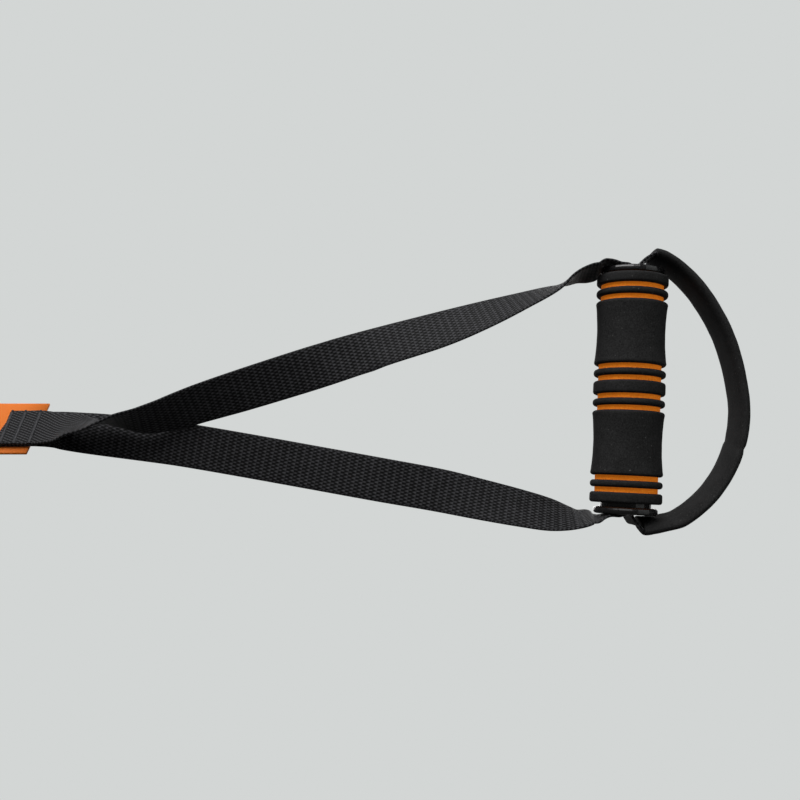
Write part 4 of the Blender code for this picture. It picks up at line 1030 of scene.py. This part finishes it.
def pale_room(settings):
    """A room whose walls the camera sees pale, and which shiny pieces mirror dimly."""
    world = bpy.data.worlds.new("pale_room")
    world.use_nodes = True
    tree = world.node_tree
    light = tree.nodes["Background"]
    light.inputs["Color"].default_value = (1.0, 1.0, 1.0, 1.0)
    seen = tree.nodes.new("ShaderNodeBackground")
    seen.inputs["Color"].default_value = (*settings.backdrop, 1.0)
    rays = tree.nodes.new("ShaderNodeLightPath")
    room = tree.nodes.new("ShaderNodeMapRange")
    tree.links.new(rays.outputs["Is Glossy Ray"], room.inputs[0])
    room.inputs["To Min"].default_value = settings.fill
    room.inputs["To Max"].default_value = settings.gleam
    tree.links.new(room.outputs[0], light.inputs["Strength"])
    join_shaders(tree, rays.outputs["Is Camera Ray"], light, seen, tree.nodes["World Output"])
    return world


def pale_floor(settings):
    """A matt floor that keeps the trainer's shadow and takes the backdrop's even tone."""
    finish = Finish("pale_floor", settings.backdrop, 0.8)
    grain = finish.noise(finish.place(), scale=30.0, detail=3.0)
    low, high = shades(settings.backdrop, 0.98, 1.02)
    finish.colour(finish.ramp(grain, ((0.3, low), (0.7, high))))
    tree = finish.tree
    pale = tree.nodes.new("ShaderNodeEmission")
    pale.inputs["Color"].default_value = (*settings.backdrop, 1.0)
    pale.inputs["Strength"].default_value = 1.0
    rays = tree.nodes.new("ShaderNodeLightPath")
    share = finish.math("MULTIPLY", rays.outputs["Is Camera Ray"], settings.floor_evenness)
    join_shaders(tree, share, finish.shader, pale, tree.nodes["Material Output"])
    return finish.material


def area_light(name, place, size, power):
    """A square light that faces the trainer's middle."""
    data = bpy.data.lights.new(name, "AREA")
    data.size = size
    data.energy = power
    lamp = bpy.data.objects.new(name, data)
    lamp.location = place
    lamp.rotation_euler = (Vector(LIGHT_AIM) - Vector(place)).to_track_quat("-Z", "Y").to_euler()
    bpy.context.scene.collection.objects.link(lamp)


def photo_camera():
    """The camera, turned on its side so that the hanging trainer lies across the frame."""
    data = bpy.data.cameras.new("photo_camera")
    data.sensor_width = SENSOR_WIDTH
    data.lens = FOCAL_PIXELS / FRAME_PIXELS * SENSOR_WIDTH
    camera = bpy.data.objects.new("photo_camera", data)
    back = Vector((-math.sin(CAMERA_TURN), -math.cos(CAMERA_TURN), 0.0))
    right = Vector((0.0, 0.0, -1.0))
    up = Vector((math.cos(CAMERA_TURN), -math.sin(CAMERA_TURN), 0.0))
    camera.matrix_world = axes_matrix(CAMERA_AIM + back * CAMERA_DISTANCE, (right, up, back))
    return camera


class TRAINER_OT_straps(bpy.types.Operator):
    """Weave and sew the yoke, the orange strap and the anchor webbing"""

    bl_idname = "trainer.straps"
    bl_label = "Straps"

    def execute(self, context):
        settings = context.scene.trainer_webbing
        black = black_webbing(settings)
        orange = orange_webbing(settings)
        rows = spline(yoke_route(settings), SPANS)
        centres = [Vector(row[:3]) for row in rows]
        across = rolled_across(centres, rows[:, 3])
        yoke = ribbon(
            centres, across, settings.width, settings.thickness,
            slopes=(LAP_CUT_SLOPE, LAP_CUT_SLOPE), creases=YOKE_CREASES,
        )
        new_piece("yoke", yoke, black, "strap", ("yoke_webbing",))

        thread = sewing_thread(settings)
        stitches = lap_seams(centres[0], across[0], settings)
        new_piece("lap_stitches", stitches, thread, "strap")

        route = strap_route()
        centres = [Vector((0.0, y, z)) for y, z, _ in route]
        across = [Vector((math.cos(yaw), math.sin(yaw), 0.0)) for _, _, yaw in route]
        strap = ribbon(
            centres, across, settings.strap_width, settings.strap_thickness,
            slopes=(-ORANGE_END_SLOPE, 0.0),
        )
        new_piece("orange_strap", strap, orange, "strap", ("main_strap",))

        route = spline(anchor_route(settings), ANCHOR_SPANS, closed=True)
        centres = [Vector(row) for row in route]
        across = [Vector((1.0, 0.0, 0.0)) for _ in centres]
        loop = ribbon(centres, across, settings.width, settings.thickness, closed=True)
        new_piece("anchor_loop", loop, black, "buckle", ("anchor_webbing",))
        return {"FINISHED"}


class TRAINER_OT_grip(bpy.types.Operator):
    """Turn the grip's foam bands and the orange foam under them"""

    bl_idname = "trainer.grip"
    bl_label = "Grip foam"

    def execute(self, context):
        settings = context.scene.trainer_foam
        black = foam("black_foam", settings.black, settings.dust)
        # The orange foam glows with painted light, which brightens the shaded grooves.
        orange = foam("orange_foam", settings.orange, settings.orange, settings.painted_glow)
        matrix = grip_matrix()
        top = FOAM_LENGTH / 2
        inner = INNER_FOAM_RADIUS + SEAT_GAP
        for node, length, fillet, waist in FOAM_BANDS:
            profile = band_profile(inner, settings.radius, length, fillet, waist)
            middle = Matrix.Translation((0.0, 0.0, top - length / 2))
            ring = turned_ring(profile, matrix @ middle, BAND_RIPPLE)
            name = node.replace("foam_", "grip_")
            piece = new_piece(name, ring, black, "grip", (node,))
            top -= length + GROOVE_LENGTH
        half = FOAM_LENGTH / 2 - LINER_INSET
        core = CORE_RADIUS + SEAT_GAP
        profile = [(INNER_FOAM_RADIUS, z) for z in np.linspace(half, -half, LINER_STEPS + 1)]
        profile += [(core, -half), (core, half)]
        liner = turned_ring(profile, matrix, LINER_RIPPLE)
        piece = new_piece("grip_liner", liner, orange, "grip", ("inner_foam",))
        return {"FINISHED"}


class TRAINER_OT_foot_loop(bpy.types.Operator):
    """Lay the foot loop's webbing and pull its foam sleeve over it"""

    bl_idname = "trainer.foot_loop"
    bl_label = "Foot loop"

    def execute(self, context):
        webbing = context.scene.trainer_webbing
        settings = context.scene.trainer_foam
        rows, sleeve_start, sleeve_end = foot_route()
        loop = spline(rows, SPANS, closed=True)
        centres = [Vector(row[:3]) for row in loop]
        across = rolled_across(centres, loop[:, 3], closed=True)
        strip = ribbon(centres, across, webbing.width, webbing.thickness, closed=True)
        piece = new_piece(
            "foot_strip", strip, bpy.data.materials["black_webbing"], None,
            ("foot_webbing",),
        )
        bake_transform(piece)

        covered = slice(sleeve_start * SPANS, sleeve_end * SPANS + 1)
        pad = foam_sleeve(centres[covered], across[covered], settings, webbing)
        sleeve = new_piece(
            "foot_pad", pad, bpy.data.materials["black_foam"], "foot_loop",
            ("foot_sleeve",),
        )
        return {"FINISHED"}


class TRAINER_OT_hardware(bpy.types.Operator):
    """Finish the steel and the moulded plastic"""

    bl_idname = "trainer.hardware"
    bl_label = "Hardware"

    def execute(self, context):
        settings = context.scene.trainer_hardware
        steel = plated_steel(settings)
        plastic = moulded_plastic(settings)
        finishes = {
            steel: ("carabiner_body", "carabiner_gate", "gate_pin", "buckle_frame", "cam_lever",
                    "cam_pin", "webbing_bar"),
            plastic: ("core_tube", "end_cap_right", "end_cap_left"),
        }
        for material, nodes in finishes.items():
            for node in nodes:
                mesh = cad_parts[node].data
                mesh.materials.clear()
                mesh.materials.append(material)
        return {"FINISHED"}


class TRAINER_OT_stage(bpy.types.Operator):
    """Set the pale surroundings, the floor, the lights and the camera"""

    bl_idname = "trainer.stage"
    bl_label = "Stage"

    def execute(self, context):
        settings = context.scene.trainer_stage
        scene = context.scene
        scene.view_settings.view_transform = "Standard"
        scene.world = pale_room(settings)

        bm = bmesh.new()
        bmesh.ops.create_circle(bm, cap_ends=True, segments=FLOOR_STEPS, radius=FLOOR_RADIUS)
        bmesh.ops.translate(bm, vec=FLOOR_CENTRE, verts=bm.verts)
        mesh = bpy.data.meshes.new("floor")
        bm.to_mesh(mesh)
        bm.free()
        mesh.materials.append(pale_floor(settings))
        floor = bpy.data.objects.new("floor", mesh)
        scene.collection.objects.link(floor)

        for name, place, size, power in LIGHTS:
            area_light(name, place, size, getattr(settings, power))

        camera = photo_camera()
        scene.collection.objects.link(camera)
        scene.camera = camera
        return {"FINISHED"}


class TRAINER_PT_panel(bpy.types.Panel):
    bl_label = "Suspension trainer"
    bl_idname = "TRAINER_PT_panel"
    bl_space_type = "VIEW_3D"
    bl_region_type = "UI"
    bl_category = "Trainer"

    def draw(self, context):
        groups = (
            (context.scene.trainer_webbing, ("trainer.straps",)),
            (context.scene.trainer_foam, ("trainer.grip", "trainer.foot_loop")),
            (context.scene.trainer_hardware, ("trainer.hardware",)),
            (context.scene.trainer_stage, ("trainer.stage",)),
        )
        for settings, operators in groups:
            box = self.layout.box()
            for name in settings.__annotations__:
                box.prop(settings, name)
            for operator in operators:
                box.operator(operator)


SETTINGS = {
    "trainer_webbing": WebbingSettings,
    "trainer_foam": FoamSettings,
    "trainer_hardware": HardwareSettings,
    "trainer_stage": StageSettings,
}
CLASSES = (
    WebbingSettings, FoamSettings, HardwareSettings, StageSettings, TRAINER_OT_straps,
    TRAINER_OT_grip, TRAINER_OT_foot_loop, TRAINER_OT_hardware, TRAINER_OT_stage,
    TRAINER_PT_panel,
)


def register():
    for group in CLASSES:
        bpy.utils.register_class(group)
    for name, group in SETTINGS.items():
        setattr(bpy.types.Scene, name, bpy.props.PointerProperty(type=group))


def unregister():
    for name in SETTINGS:
        delattr(bpy.types.Scene, name)
    for group in reversed(CLASSES):
        bpy.utils.unregister_class(group)


def main():
    register()
    bpy.ops.trainer.straps()
    bpy.ops.trainer.grip()
    bpy.ops.trainer.foot_loop()
    bpy.ops.trainer.hardware()
    bpy.ops.trainer.stage()


if __name__ == "__main__":
    main()
